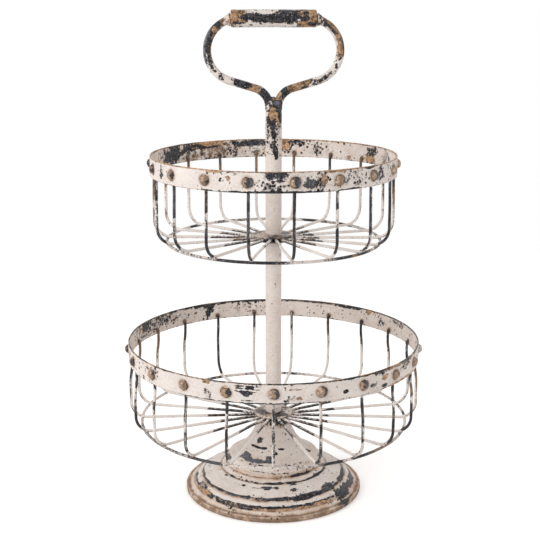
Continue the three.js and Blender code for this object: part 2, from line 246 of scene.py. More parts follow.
# Hardware inside the foot
NUT_FLATS = 13.0
NUT_BEVEL = 0.6
NUT_ROWS = (0, 0.4, 0.8, 1.2)
NUT_CONE = (0.97, 1.8)
WASHER_ROUND = (0.4, 0.4)
THREAD_PITCH = 1.25
THREAD_DEPTH = 0.6
THREAD_LENGTH = 24.0
THREAD_ROWS = 8
TIE_ROD_SIDES = 48
TIE_ROD_POINT = 1.0

# Colours, as 0 to 255 on screen
CREAM = (241, 236, 232)
CREAM_SHADE = (209, 200, 196)
# Soil takes the cream towards these browns: dirt, and painted shade in the foot's creases, round the rivets
# and inside the bands
GRIME_AND_SHADE = (201, 176, 156)
DEEP_GRIME_AND_SHADE = (118, 95, 78)
CHARCOAL = (15, 14, 18)
# Grey of dulled charcoal, also used as a painted highlight on the handle's left arc and as the zinc's darker
# bloom
WORN_AND_SHEEN_GREY = (122, 123, 132)
BRONZE = (194, 154, 117)
BRONZE_DARK = (92, 70, 53)
BROWN = (170, 138, 110)
RIVET_BROWN = (190, 158, 131)
TAN = (216, 174, 134)
BROWN_DARK = (58, 46, 39)
ZINC = (150, 152, 156)

# Paints: slot, size of a chip in metres, light and dark of the rubbed metal, and gloss
PAINTS = {
    "cream": ("cream_paint", 0.0067, (TAN, BRONZE_DARK), 0.22),
    "wire": ("cream_paint", 0.0032, (BROWN, BROWN_DARK), 0.22),
    "rivet": ("worn_rivet", 0.0027, (RIVET_BROWN, BRONZE_DARK), 0.5),
    "handle": ("worn_handle", 0.0058, (BRONZE, BROWN_DARK), 0.22),
}
# Noise in the paint as lumps, detail and roughness: chips, crumbs, clusters, patches and scuffs with their
# lumps per chip, and mottle, smears and grains with their lumps per metre
CHIP_NOISE = [(1, 7, 0.62), (4.6, 4, 0.62), (0.22, 3, 0.55), (0.55, 6, 0.6), (2.2, 5, 0.7)]
FILM_NOISE = [(26, 4, 0.6), (95, 5, 0.65), (620, 3, 0.75)]
NOISE_SPAN = (0.3, 0.7)
# Where one coat gives way to the next
FLAKE_EDGE = (-0.02, 0.04)
SPECK_EDGE = (-0.02, 0.06)
FLECK_EDGE = (0.65, 0.69)
FLAKE_HALO = (-0.34, 0.02)
SPECK_HALO = (-0.2, 0.02)
METAL_EDGE = (-0.06, 0.07)
GRIME_AND_SHADE_EDGE = (0.65, 1.6)
GRIME_AND_SHADE_DEPTH = 0.85
HALO_DEPTH = 0.36
METAL_SHINE = 0.12
PAINT_BUMP = (0.55, 0.00022)
ZINC_BUMP = (0.3, 0.0001)

# Wear, bronze, frayed outlines and soil of a piece, each a level and then rows of soft noise on it, which are
# a strength, the size of the lumps and a seed; soil is dirt, and in some places painted shade
COAT_NAMES = ("wear", "bronze", "soil_and_shade")
COATS = {
    "foot": [(0.07, (0.14, 22, 1)), (0.18, (0.2, 30, 2)), (0, (0.45, 9, 6)), (0.14, (0.25, 30, 4))],
    "band": [(0, (0.16, 22, 0), (0.1, 7, 1)), (0.2, (0.3, 35, 2)), (0, (0.5, 8, 6), (0.4, 3.5, 7)), (0,)],
    "ring": [(0.38, (0.6, 30, 0), (0.2, 9, 5)), (0.15, (0.4, 28, 6)), (0,), (0.15,)],
    "hub": [(0.4, (0.4, 12, 0)), (0.3, (0.5, 15, 3)), (0,), (0.6,)],
    "post": [(-0.06, (0.06, 14, 4)), (0.3, (0.5, 18, 5)), (0, (0.5, 5, 6)), (0.3,)],
    "rod": [(0.4, (0.45, 16, 8)), (0.4, (0.6, 18, 9)), (0, (0.45, 6, 10), (0.3, 3, 11)), (0.15,)],
    "neck": [(0.6, (0.5, 7, 12)), (0.3, (0.8, 9, 13)), (0, (0.4, 5, 14)), (0.12,)],
    "grip": [(0.45, (0.5, 14, 15)), (0.45, (0.6, 18, 16)), (0, (0.4, 7, 17), (0.35, 3, 18)), (0.12,)],
}
SEED_SHIFT = (7.3, 3.1, 5.7)
PATCH_EDGE = 1.35
PATCH_FADE = 0.7
LEFT_OUT = 9.0

# Wear of the foot; a pair is the height or radius where something sets in and where it is full
FOOT_STREAKS = {"wear": (0.2, 3.4, 9), "fray": (0.6, 2.6, 7), "soil_and_shade": (0.3, 4, 11)}
STREAK_STRETCH = 5
BELL_EDGE = (54.0, 59.5)
RIM_HEIGHTS = (7.4, 5.2)
RIM_RADII = (102, 104)
RIM_WEAR = (0.3, (0.35, 14, 3))
RIM_BRONZE = (0.6, (0.5, 18, 8))
RIM_SOIL = 1.1
NECK_HEIGHTS = (82, 88)
NECK_WEAR = 0.5
NECK_SOIL = 0.5
STEP_RADII = (95, 98)
STEP_SOIL = 0.5
BELL_HEIGHTS = (32, 36)
BELL_SOIL = 0.22
# The creases take soil as grime and as painted shade
FOOT_CREASES = (104.5, 97.5, 88.5, 65.0, 58.6)
CREASE_REACH = (1.95, 0.65)
CREASE_GRIME_AND_SHADE = 0.9
LINING_COAT = {"wear": (0.08, (0.3, 34, 21)), "soil_and_shade": (0.5, (0.4, 40, 22))}

# Wear of the bands; a pair of levels is for the outside and the inside, and the higher soil inside is painted
# shade
BAND_WEAR = (0.12, 0.2)
BAND_SOIL_AND_INSIDE_SHADE = (0.14, 0.36)
TOP_EDGE = (BAND_HEIGHT - 1.9, BAND_HEIGHT - 0.5)
TOP_WEAR = (0.74, (0.3, 14, 3))
TOP_BRONZE_LUMPS = (0.7, 20, 4)
BOTTOM_EDGE = (1.1, 0)
BOTTOM_WEAR = (0.5, (0.4, 18, 5))
LIP = (BAND_HEIGHT - 0.9, BAND_HEIGHT - 0.4)
LIP_WEAR = 0.62
LIP_BRONZE_LUMPS = (0.6, 16, 8)
EDGE_SOIL = 0.7
# Soil round each rivet outside, which is dirt and a painted shade ring, and round each weld inside, which is
# a stain
STAIN_AND_SHADE_REACH = (RIVET_RADIUS + 2.2, WELD_SIZE[0] + 1.6)
STAIN_AND_SHADE_FADE = 3
STAIN_AND_SHADE_DEPTH = 1.15

# Wear of the wires; a spoke begins at a share of the drop, a pair is a range to draw from, a lean is how much
# more one side is worn, the twist takes that side round the wire, and a coat is wear, bronze and soil. On the
# spokes the lean paints the top lighter and the underside darker, as painted light and shade
SPOKE_START = 0.985
SPOKE_BRONZE = 0.35
SPOKE_STRETCH = 0.6
HUB_END_WEAR = 0.46
OUTER_END_WEAR = 0.06
FRONT_COSINE = 0.1
FRONT_TONE = (-0.2, 0.5)
BARE_FROM = (18, 44)
BARE_TO = (0.75, 1.15)
BARE_RUNS = ((0.3, 0.46), (0.54, 0.64), (0.76, 0.97))
BARE_WEAR = 0.74
AGAIN_WEAR = 0.72
KEPT_WEAR = 0.22
BACK_WEAR = 0.84
BACK_FADE = 0.6
BACK_LEAN = 0.3
BACK_EXTRA = 0.08
FRONT_LEAN = 0.26
SPOKE_SHADE_LEAN = -0.3
STRETCH_SIZE = 11
STRETCH_WEAR = 0.3
STRETCH_BRONZE = 0.7
TWIST_SIZE = 40
TWIST = 5
TWIST_SEED = 9
WIRE_SOIL = 0.08
WELD_COAT = (0.72, 0.55, WIRE_SOIL)
UNDER_PLATE_COAT = (0.6, 0.2, WIRE_SOIL)
RING_WELD_COAT = (0.4, 0.7, 0.15)

# Wear of the rivets, with noise in their wear and bronze as a strength, the size of the lumps, a seed and a
# slope to the right, and wear of the handle's collars. The slope paints each dome lighter on its left and
# darker on its right, as painted light and shade
DARK_RIVET = (0.82, 0.25)
RIVET_BRONZE = (0.62, 0.95)
RIVET_NOISE_AND_SHADE = [(0.5, 3.5, 0, 0.05), (0.6, 4, 60, -0.15)]
RIVET_SEED = 5
FLANGE_WEAR = 0.24
# The crease between flange and dome is worn to a dark line, which is a painted shadow
RIVET_CREASE_SHADE = 0.7
TAIL_COAT = 0.1
RIVET_SOIL = (0.1, 0.9)
ROD_FRAY = (5, 7, 19)
GRIP_COLLAR = (3, 4.5)
GRIP_COLLAR_COAT = {"wear": (0.4, (0.4, 4, 12)), "soil_and_shade": (0.55,)}


def srgb(colour):
    """A screen colour as the linear colour that a shader takes."""
    shares = (value / 255 for value in colour)
    linear = (share / 12.92 if share <= 0.04045 else ((share + 0.055) / 1.055) ** 2.4 for share in shares)
    return (*linear, 1.0)


class Graph:
    """Adds shader nodes to the tree of a material or world and wires them up."""

    def __init__(self, owner):
        owner.use_nodes = True
        self.tree = owner.node_tree
        self.tree.nodes.clear()

    def node(self, kind, inputs=None, **settings):
        node = self.tree.nodes.new(kind)
        for key, value in settings.items():
            setattr(node, key, value)
        for key, value in (inputs or {}).items():
            if isinstance(value, bpy.types.NodeSocket):
                self.tree.links.new(value, node.inputs[key])
            else:
                node.inputs[key].default_value = value
        return node

    def math(self, operation, first, second=0.0, third=0.0, clamp=False):
        inputs = {0: first, 1: second, 2: third}
        return self.node("ShaderNodeMath", inputs, operation=operation, use_clamp=clamp).outputs[0]

    def noise(self, where, scale, detail, roughness=0.55):
        inputs = {"Vector": where, "Scale": scale, "Detail": detail, "Roughness": roughness}
        return self.node("ShaderNodeTexNoise", inputs).outputs["Fac"]

    def warped(self, where, scale, reach):
        """Places pushed about by noise, for ragged outlines."""
        push = self.node("ShaderNodeTexNoise", {"Vector": where, "Scale": scale, "Detail": 4.0})
        inputs = {0: push.outputs["Color"], 1: (reach, reach, reach), 2: where}
        return self.node("ShaderNodeVectorMath", inputs, operation="MULTIPLY_ADD").outputs[0]

    def cells(self, where, scale):
        """Random flakes: how far a place is from its flake's middle, and a random value for the flake."""
        flakes = self.node("ShaderNodeTexVoronoi", {"Vector": where, "Scale": scale})
        return flakes.outputs["Distance"], flakes.outputs["Color"]

    def weigh(self, total, *parts):
        """A sum of values times their weights, on top of a first value."""
        for value, weight in parts:
            total = self.math("MULTIPLY_ADD", value, weight, total)
        return total

    def step(self, value, low, high):
        inputs = {"Value": value, "From Min": low, "From Max": high}
        return self.node("ShaderNodeMapRange", inputs, interpolation_type="SMOOTHSTEP").outputs["Result"]

    def scaled(self, value, low, high):
        """A noise value spread over a range."""
        inputs = {"Value": value, "To Min": low, "To Max": high}
        inputs["From Min"], inputs["From Max"] = NOISE_SPAN
        return self.node("ShaderNodeMapRange", inputs).outputs["Result"]

    def mix(self, share, first, second):
        return self.node("ShaderNodeMix", {0: share, 6: first, 7: second}, data_type="RGBA").outputs[2]

    def bump(self, height, strength, depth):
        inputs = {"Strength": strength, "Distance": depth, "Height": height}
        return self.node("ShaderNodeBump", inputs).outputs["Normal"]

    def surface(self, inputs):
        shader = self.node("ShaderNodeBsdfPrincipled", inputs)
        self.node("ShaderNodeOutputMaterial", {"Surface": shader.outputs["BSDF"]})

    def seen(self):
        """One for rays that show the background: from the camera, off gloss and through glass."""
        rays = self.node("ShaderNodeLightPath").outputs
        shown = self.math("MAXIMUM", rays["Is Camera Ray"], rays["Is Glossy Ray"])
        return self.math("MAXIMUM", shown, rays["Is Transmission Ray"])


def distressed_paint(name, chip_size, metal_colours, gloss):
    """Cream paint over a charcoal coat over metal.

    The wear attribute bares the coats, bronze above zero bares the metal and below zero dulls the charcoal
    to grey, which on the handle's left arc is a painted highlight, and soil stains the cream, which is dirt
    and also painted shade in the foot's creases, round the rivets and inside the bands.
    """
    material = bpy.data.materials.new(name)
    graph = Graph(material)
    where = graph.node("ShaderNodeTexCoord").outputs["Object"]
    attributes = (graph.node("ShaderNodeAttribute", attribute_name=coat) for coat in COAT_NAMES)
    wear, bronze, soil_and_shade = (attribute.outputs["Fac"] for attribute in attributes)
    scale = 1 / chip_size
    by_chip = ((scale * lumps, detail, rough) for lumps, detail, rough in CHIP_NOISE)
    chips, crumbs, clusters, patches, scuffs = (graph.noise(where, *row) for row in by_chip)
    mottle, smears, grains = (graph.noise(where, *row) for row in FILM_NOISE)

    # The cream is off where the weights of wear and noise add up to more than zero, with flecks left on
    ragged = graph.warped(where, scale * 1.6, chip_size * 0.55)
    _, flakes = graph.cells(ragged, scale * 2.3)
    flake = graph.weigh(-2.425, (wear, 1.6), (chips, 1.3), (flakes, 0.45), (crumbs, 1.5))
    speck_reach, speck_luck = graph.cells(ragged, scale * 1.9)
    speck = graph.weigh(-1.07, (speck_luck, 1.0), (wear, 1.0), (clusters, 0.75), (speck_reach, -1.0))
    flecks = graph.step(graph.noise(ragged, scale * 4.2, 2.0), *FLECK_EDGE)
    bare = graph.math("MAXIMUM", graph.step(flake, *FLAKE_EDGE), graph.step(speck, *SPECK_EDGE))
    bare = graph.math("SUBTRACT", bare, flecks, clamp=True)
    halo = graph.math("MAXIMUM", graph.step(flake, *FLAKE_HALO), graph.step(speck, *SPECK_HALO))
    rubbed = graph.weigh(-1.75, (bronze, 1.3), (patches, 1.4), (crumbs, 0.8))
    metal = graph.step(rubbed, *METAL_EDGE)

    # Cream with its stains and painted shade, dulled charcoal that is also a painted highlight, and tarnished
    # metal
    shade = graph.scaled(mottle, 0.1, 0.8)
    shade = graph.math("MULTIPLY", shade, graph.scaled(grains, -0.2, 1.9), clamp=True)
    cream = graph.mix(shade, srgb(CREAM), srgb(CREAM_SHADE))
    # Soil stains the cream as dirt, and as painted shade in creases, round rivets and inside the bands
    stain_and_shade = graph.math("MULTIPLY", soil_and_shade, graph.scaled(smears, 0.4, 1.3))
    cream = graph.mix(graph.math("ADD", stain_and_shade, clamp=True), cream, srgb(GRIME_AND_SHADE))
    deep_grime_and_shade = graph.math("MULTIPLY", graph.step(stain_and_shade, *GRIME_AND_SHADE_EDGE), GRIME_AND_SHADE_DEPTH)
    deep_grime_and_shade = graph.math("MAXIMUM", deep_grime_and_shade, graph.math("MULTIPLY", halo, HALO_DEPTH))
    cream = graph.mix(deep_grime_and_shade, cream, srgb(DEEP_GRIME_AND_SHADE))
    # Below zero, bronze dulls the charcoal to grey, which on the handle's left arc is a painted highlight
    dulled_and_sheen = graph.math("MULTIPLY", bronze, -1.0, clamp=True)
    dulled_and_sheen = graph.math("ADD", graph.scaled(scuffs, -0.25, 0.42), dulled_and_sheen, clamp=True)
    charcoal = graph.mix(dulled_and_sheen, srgb(CHARCOAL), srgb(WORN_AND_SHEEN_GREY))
    tarnish = graph.weigh(-2.6, (scuffs, 2.6), (crumbs, 1.7), (patches, 1.9))
    rubbed_metal = graph.mix(graph.math("ADD", tarnish, clamp=True), *map(srgb, metal_colours))
    under = graph.mix(metal, charcoal, rubbed_metal)

    under_rough = graph.weigh(0.39 - 0.5 * gloss, (scuffs, 0.25))
    cream_rough = graph.weigh(0.5, (grains, 0.25))
    rough = graph.node("ShaderNodeMix", {0: bare, 2: cream_rough, 3: under_rough}, data_type="FLOAT")
    height = graph.weigh(1.0, (bare, -1.0), (grains, 0.5), (mottle, 0.8))
    graph.surface({
        "Base Color": graph.mix(bare, cream, under),
        "Roughness": rough.outputs[0],
        "Metallic": graph.math("MULTIPLY", graph.math("MULTIPLY", bare, metal), METAL_SHINE),
        "Specular IOR Level": gloss,
        "Normal": graph.bump(height, *PAINT_BUMP),
    })
    return material


def zinc_steel():
    """Zinc-plated hardware, streaked and a little dull."""
    material = bpy.data.materials.new("zinc_steel")
    graph = Graph(material)
    where = graph.node("ShaderNodeTexCoord").outputs["Object"]
    streaks = graph.noise(where, 300.0, 5.0, 0.65)
    bloom = graph.noise(where, 60.0, 3.0)
    graph.surface({
        "Base Color": graph.mix(graph.scaled(bloom, 0.0, 1.0), srgb(ZINC), srgb(WORN_AND_SHEEN_GREY)),
        "Metallic": 0.9,
        "Roughness": graph.weigh(0.28, (streaks, 0.3)),
        "Normal": graph.bump(streaks, *ZINC_BUMP),
    })
    return material


# Mesh helpers

def put(name, data):
    """A new object in the scene."""
    thing = bpy.data.objects.new(name, data)
    bpy.context.scene.collection.objects.link(thing)
    return thing


def finished(name, work):
    """A piece in the scene, with its faces turned outward and all but its sharp edges smooth."""
    work.normal_update()
    bmesh.ops.recalc_face_normals(work, faces=work.faces)
    mesh = bpy.data.meshes.new(name)
    work.to_mesh(mesh)
    work.free()
    mesh.shade_smooth()
    mesh.set_sharp_from_angle(angle=SHARP_ANGLE)
    return put(name, mesh)


def onward(row):
    """A row that starts with its second item and ends with its first."""
    return row[1:] + row[:1]


def loft(name, rings, loop=False, place=Matrix()):
    """A closed mesh through rings of points in millimetres; loop joins the last ring to the first."""
    work = bmesh.new()
    rows = [[work.verts.new(place @ Vector(point) * MM) for point in ring] for ring in rings]
    for here, there in zip(rows, onward(rows) if loop else rows[1:]):
        for corners in zip(here, onward(here), onward(there), there):
            work.faces.new(corners)
    if not loop:
        work.faces.new(rows[0][::-1])
        work.faces.new(rows[-1])
    return finished(name, work)


def join(name, parts):
    """One object out of closed meshes, and the coats of each laid end to end."""
    work = bmesh.new()
    coats = []
    for piece, *coat in parts:
        work.from_mesh(piece.data)
        coats.append([np.broadcast_to(values, len(piece.data.vertices)) for values in coat])
        bpy.data.objects.remove(piece)
    return finished(name, work), *map(np.concatenate, zip(*coats))


def mount(piece, paint, node, body="stand"):
    """Gives a piece its paint, the node that it stands for and the body that it rides on."""
    material, slot = paint
    piece.data.materials.append(material)
    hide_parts(node)
    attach(piece, body)


def dress(piece, paint, node, coats, body="stand"):
    """Mounts a piece with its wear, bronze and soil, the soil being dirt and painted shade."""
    for name, values in zip(COAT_NAMES, coats):
        layer = piece.data.attributes.new(name, "FLOAT", "POINT")
        spread = np.broadcast_to(np.asarray(values, dtype=np.float32), len(piece.data.vertices))
        layer.data.foreach_set("value", np.ascontiguousarray(spread))
    mount(piece, paint, node, body)


def extent(node):
    """The bottom, top and half width of a node in millimetres."""
    low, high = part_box(node)
    return low.z / MM, high.z / MM, (high.x - low.x) / 2 / MM


def places(piece):
    """The vertices of a piece in millimetres, as three columns."""
    flat = np.empty(len(piece.data.vertices) * 3)
    piece.data.vertices.foreach_get("co", flat)
    return flat.reshape(-1, 3).T / MM


def ripple(points, size, seed):
    """Soft noise from -1 to 1 at points in millimetres, with lumps of a size."""
    shift = Vector(seed * part for part in SEED_SHIFT)
    return np.array([noise.noise(Vector(point) / size + shift) for point in points])


def soft(place, strength, size, shift=Vector()):
    """Soft noise of a strength at one place, with lumps of a size."""
    return strength * noise.noise(place / size + shift)


def ramp(values, start, full):
    """Zero before the start, one from where it is full, and even in between."""
    return np.clip((values - start) / (full - start), 0, 1)


def lay_patches(patches, u, v, wear, bronze, fray=0.0):
    """Blends patches into wear and bronze; a patch is its middle, half sizes, wear and bronze."""
    for middle_u, middle_v, half_u, half_v, worn, rubbed in patches:
        distance = np.hypot((u - middle_u) / half_u, (v - middle_v) / half_v) + fray
        cover = np.clip((PATCH_EDGE - distance) / PATCH_FADE, 0, 1)
        wear += (worn - wear) * cover
        bronze += (rubbed - bronze) * cover


class Coat:
    """Wear, bronze, frayed outlines and soil, which is dirt and painted shade, at the vertices of a piece.

    Places are in millimetres, and the angle is round the post from the front towards +X.
    """

    def __init__(self, piece, kind, seed=0):
        self.piece = piece
        self.seed = seed
        self.x, self.y, self.z = places(piece)
        self.spots = list(zip(self.x, self.y, self.z))
        self.angle = np.arctan2(self.x, -self.y)
        self.wear, self.bronze, self.fray, self.soil_and_shade = (self.lumpy(*rows) for rows in COATS[kind])

    def lumpy(self, level, *rows):
        """A level with rows of soft noise on it."""
        values = np.full(len(self.x), float(level))
        for strength, size, seed in rows:
            values += strength * ripple(self.spots, size, self.seed + seed)
        return values

    def blend(self, cover, **targets):
        """Takes wear, bronze or soil with its painted shade to a level with soft noise on it, as far as the
        cover says.
        """
        for name, rows in targets.items():
            values = getattr(self, name)
            values += (self.lumpy(*rows) - values) * cover

    def bare(self, cover, *rows):
        """Wears places at least to a level with soft noise on it, as far as the cover says."""
        self.wear += np.maximum(self.lumpy(*rows) - self.wear, 0) * cover

    def lay(self, patches, u, v, away=False):
        """Lays patches by two measures of each place; away tells the places that stay without."""
        lay_patches(patches, u, v, self.wear, self.bronze, self.fray + LEFT_OUT * away)

    def dress(self, paint, node, body="stand"):
        dress(self.piece, paint, node, (self.wear, self.bronze, self.soil_and_shade), body)


def curve(start, pull, end, steps):
    """Points from a start to an end, drawn towards a third point in between."""
    shares = [i / steps for i in range(steps + 1)]
    return [start.lerp(pull, share).lerp(pull.lerp(end, share), share) for share in shares]


def rounded(corners, steps=4, most=0.45):
    """An open outline through corners [x, y, rounding]; a rounding takes at most a share of each side."""
    points = [Vector(corners[0][:2])]
    for before, corner, after in zip(corners, corners[1:], corners[2:]):
        here = Vector(corner[:2])
        back = Vector(before[:2]) - here
        ahead = Vector(after[:2]) - here
        reach = min(corner[2], back.length * most, ahead.length * most)
        points += curve(here + back.normalized() * reach, here, here + ahead.normalized() * reach, steps)
    points.append(Vector(corners[-1][:2]))
    return points


def divided(outline, parts):
    """An outline with its sides cut into parts, whose count depends on a side's length."""
    points = [outline[0]]
    for point in outline[1:]:
        before = points[-1]
        count = parts((point - before).length)
        points += [before.lerp(point, (i + 1) / count) for i in range(count)]
    return points


def plate_outline(bottom, top, edge, roundings, bore=BOLT_BORE, **how):
    """Half the section of a round plate with a hole, as (radius, height)."""
    low, high = roundings
    return rounded([(bore, bottom, 0), (edge, bottom, low), (edge, top, high), (bore, top, 0)], **how)


def dents(depth, size, size_z, bore=0.0):
    """A wobble for a turned piece: soft dents of a size round it and along it, but none in its bore."""
    def wobble(angle, radius, z):
        if radius <= bore:
            return 0.0
        spot = Vector((math.sin(angle) * radius / size, math.cos(angle) * radius / size, z / size_z))
        return depth * noise.noise(spot)
    return wobble


def turned(name, outline, steps, wobble=None, place=Matrix()):
    """A piece turned about Z out of a closed loop of (radius, height), pushed in and out by a wobble."""
    rings = []
    for i in range(steps):
        angle = math.tau * i / steps
        ring = []
        for radius, z in outline:
            reach = radius + wobble(angle, radius, z) if wobble else radius
            ring.append((reach * math.sin(angle), -reach * math.cos(angle), z))
        rings.append(ring)
    return loft(name, rings, True, place)


def circles(outline, sides):
    """Rings for a solid turned about Z, one at each (radius, height)."""
    angles = [math.tau * j / sides for j in range(sides)]
    return [[(radius * math.cos(a), radius * math.sin(a), z) for a in angles] for radius, z in outline]


class Pen:
    """Draws a path in a plane: straight runs, turns and side steps, with a point every few millimetres."""

    def __init__(self, x, y, heading):
        self.heading = heading
        self.points = [Vector((x, y))]

    @property
    def place(self):
        return self.points[-1]

    def ahead(self):
        return Vector((math.cos(self.heading), math.sin(self.heading)))

    def left(self):
        return Vector((-math.sin(self.heading), math.cos(self.heading)))

    def run(self, length):
        start = self.place
        count = max(1, round(length / WIRE_STEP))
        self.points += [start + self.ahead() * (length * (i + 1) / count) for i in range(count)]

    def turn(self, radius, angle, steps):
        side = math.copysign(radius, angle)
        centre = self.place + self.left() * side
        for _ in range(steps):
            self.heading += angle / steps
            self.points.append(centre - self.left() * side)

    def sidestep(self, length, offset, steps):
        start = self.place
        for i in range(1, steps + 1):
            drift = offset * (1 - math.cos(math.pi * i / steps)) / 2
            self.points.append(start + self.ahead() * (length * i / steps) + self.left() * drift)


def ways_along(path):
    """The direction of a path at each of its points, with no set length."""
    return [after - before for before, after in zip(path[:1] + path, path[1:] + path[-1:])]


def tube_rings(path, radii, sides, ways=None):
    """Round sections along a path, one at each point, square to the path or to given directions."""
    rings = []
    ways = ways or ways_along(path)
    across = ways[0].normalized().orthogonal()
    for point, radius, way in zip(path, radii, ways):
        ahead = way.normalized()
        across = (across - ahead * across.dot(ahead)).normalized()
        beside = ahead.cross(across)
        angles = (math.tau * j / sides for j in range(sides))
        rings.append([point + (across * math.cos(a) + beside * math.sin(a)) * radius for a in angles])
    return rings


def blob(name, centre, size, seed, angle=0.0):
    """A small lump of weld, at a place in millimetres and turned about Z."""
    turn = Matrix.Rotation(angle, 3, "Z")
    shift = Vector((seed, seed * 2.3, seed * 0.7))
    work = bmesh.new()
    bmesh.ops.create_icosphere(work, subdivisions=2, radius=1.0)
    for vertex in work.verts:
        lump = 1 + soft(vertex.co, *WELD_LUMPS, shift)
        stretched = Vector(a * b for a, b in zip(vertex.co, size))
        vertex.co = (Vector(centre) + turn @ stretched * lump) * MM
    return finished(name, work)


# Foot

FOOT_PATCHES = [
    # u is degrees round from the front, v is the radius
    (0, 87.2, 400, 1.3, 0.66, -0.1), (0, 95.9, 400, 1.3, 0.62, 0), (0, 64.6, 72, 1.1, 0.5, 0.05),
    (30, 86.6, 26, 2.6, 0.86, 0), (52, 85, 8, 5, 0.84, -0.12), (62, 96.5, 10, 5.5, 0.86, -0.15),
    (82, 96.5, 14, 3, 0.8, -0.12), (56, 100.5, 5, 3, 0.84, 0), (54, 106.3, 7, 2.4, 0.95, 0),
    (78, 86, 22, 2.4, 0.86, 0.05), (10, 98, 34, 1.3, 0.56, 0.75), (38, 97.8, 9, 1.6, 0.7, 0.75),
    (-63, 95.8, 9, 2.6, 0.85, 0.95), (-66, 92, 10, 3.4, 0.5, 0.2), (-34, 97.6, 14, 2.2, 0.6, 0.3),
    (-28, 101.5, 10, 1.6, 0.5, 0.1), (3, 64.2, 13, 1.2, 0.85, 0), (45, 64.7, 30, 1.5, 0.72, 0),
    (-59, 67.7, 1.8, 1.1, 0.9, 0), (-30, 71.9, 1.8, 1.3, 0.9, 0), (-7, 71.4, 3.6, 2.4, 0.95, -0.2),
    (2.8, 71.4, 2.2, 1.9, 0.92, -0.15), (19.3, 76, 3.2, 2.9, 0.95, -0.25), (-15, 72.4, 4, 0.9, 0.6, 0),
    (33, 75.2, 1, 1, 0.9, 0), (25, 68, 8, 1.4, 0.5, 0), (-52, 44, 9, 4, 0.84, -0.5),
    (-36, 47.5, 10, 2.8, 0.84, -0.5), (-20, 46.5, 12, 3, 0.88, -0.5), (-9, 44, 6, 4.5, 0.8, -0.4),
    (-37, 51.5, 6, 1.6, 0.05, 0), (-15, 52, 26, 2.2, 0.46, 0.1), (30, 53, 22, 3, 0.38, 0.2),
    (-34, 32.7, 22, 1, 0.86, 0), (-38, 28, 8, 2, 0.8, 0), (16, 33.3, 8, 1.1, 0.9, 0),
    (4.4, 37.4, 4, 2.4, 0.9, 0), (74, 45, 5, 4, 0.6, 0), (150, 42, 25, 5, 0.62, 0.1),
    (-130, 75, 9, 4, 0.8, 0.1), (165, 77, 6, 4, 0.85, 0), (-150, 97, 20, 3.5, 0.85, 0.6),
    (125, 90, 16, 4, 0.7, 0.1),
]
BELL_PATCHES = [
    # u is degrees round from the front, v is the height on the bell's upright edge
    (0, 34.2, 400, 0.9, 0.46, 0.8), (36, 35, 24, 1.4, 0.78, 0.1), (-80, 40, 16, 4.5, 0.86, -0.12),
    (98, 40, 16, 5, 0.88, -0.12), (8, 39.5, 22, 1.1, 0.5, 0.1), (-24, 40.5, 14, 0.9, 0.55, 0),
]


def foot_outline():
    """The foot's outer skin, and its whole section with the hole at the top and the lining."""
    skin = rounded([*FOOT_RIM, *FOOT_PROFILE, (*FLARE[0], 0)])
    skin += curve(*map(Vector, FLARE), FLARE_POINTS)[1:]
    edge_in, edge_down = NECK_EDGE
    skin += [Vector((NECK_RADIUS, FOOT_HEIGHT - edge_down)), Vector((NECK_RADIUS - edge_in, FOOT_HEIGHT))]
    skin = divided(skin, lambda length: max(1, round(length / FOOT_SPACING)))
    inside = FOOT_RIM[0][0]
    above = [point for point in skin if point.y > FOOT_RIM[2][1] - 0.2 and point.x < inside + 1]
    lining = [(min(point.x - FOOT_WALL, inside), point.y - FOOT_WALL) for point in reversed(above[::2])]
    return skin, [*skin, (BOLT_BORE, FOOT_HEIGHT), (BOLT_BORE, FOOT_HEIGHT - FOOT_WALL), *lining]


def build_foot(paint):
    skin, outline = foot_outline()
    coat = Coat(turned("foot", outline, FOOT_TURN_STEPS, dents(*FOOT_DENTS)), "foot")
    z = coat.z
    radius = np.hypot(coat.x, coat.y)
    turn = np.degrees(coat.angle)
    streaks = list(zip(coat.angle * radius / STREAK_STRETCH, radius, z))
    for name, (strength, size, seed) in FOOT_STREAKS.items():
        values = getattr(coat, name)
        values += strength * ripple(streaks, size, seed)
    coat.lay(FOOT_PATCHES, turn, radius)
    off_bell = (radius < BELL_EDGE[0]) | (radius > BELL_EDGE[1]) | (z < FOOT_PROFILE[-3][1])
    coat.lay(BELL_PATCHES, turn, z, off_bell)
    rim = ramp(z, *RIM_HEIGHTS) * ramp(radius, *RIM_RADII)
    neck = ramp(z, *NECK_HEIGHTS)
    coat.bare(rim, *RIM_WEAR)
    coat.blend(rim, bronze=RIM_BRONZE)
    coat.blend(neck, wear=(NECK_WEAR,))
    coat.soil_and_shade += STEP_SOIL * ramp(radius, *STEP_RADII) + BELL_SOIL * ramp(z, *BELL_HEIGHTS)
    # Soil in the creases: grime and painted shade
    for crease in FOOT_CREASES:
        coat.soil_and_shade += CREASE_GRIME_AND_SHADE * ramp(np.abs(radius - crease), *CREASE_REACH)
    coat.soil_and_shade += NECK_SOIL * neck + RIM_SOIL * rim
    coat.blend(np.tile(np.arange(len(outline)) > len(skin), FOOT_TURN_STEPS), **LINING_COAT)
    coat.dress(paint, "foot_shell")


# Baskets

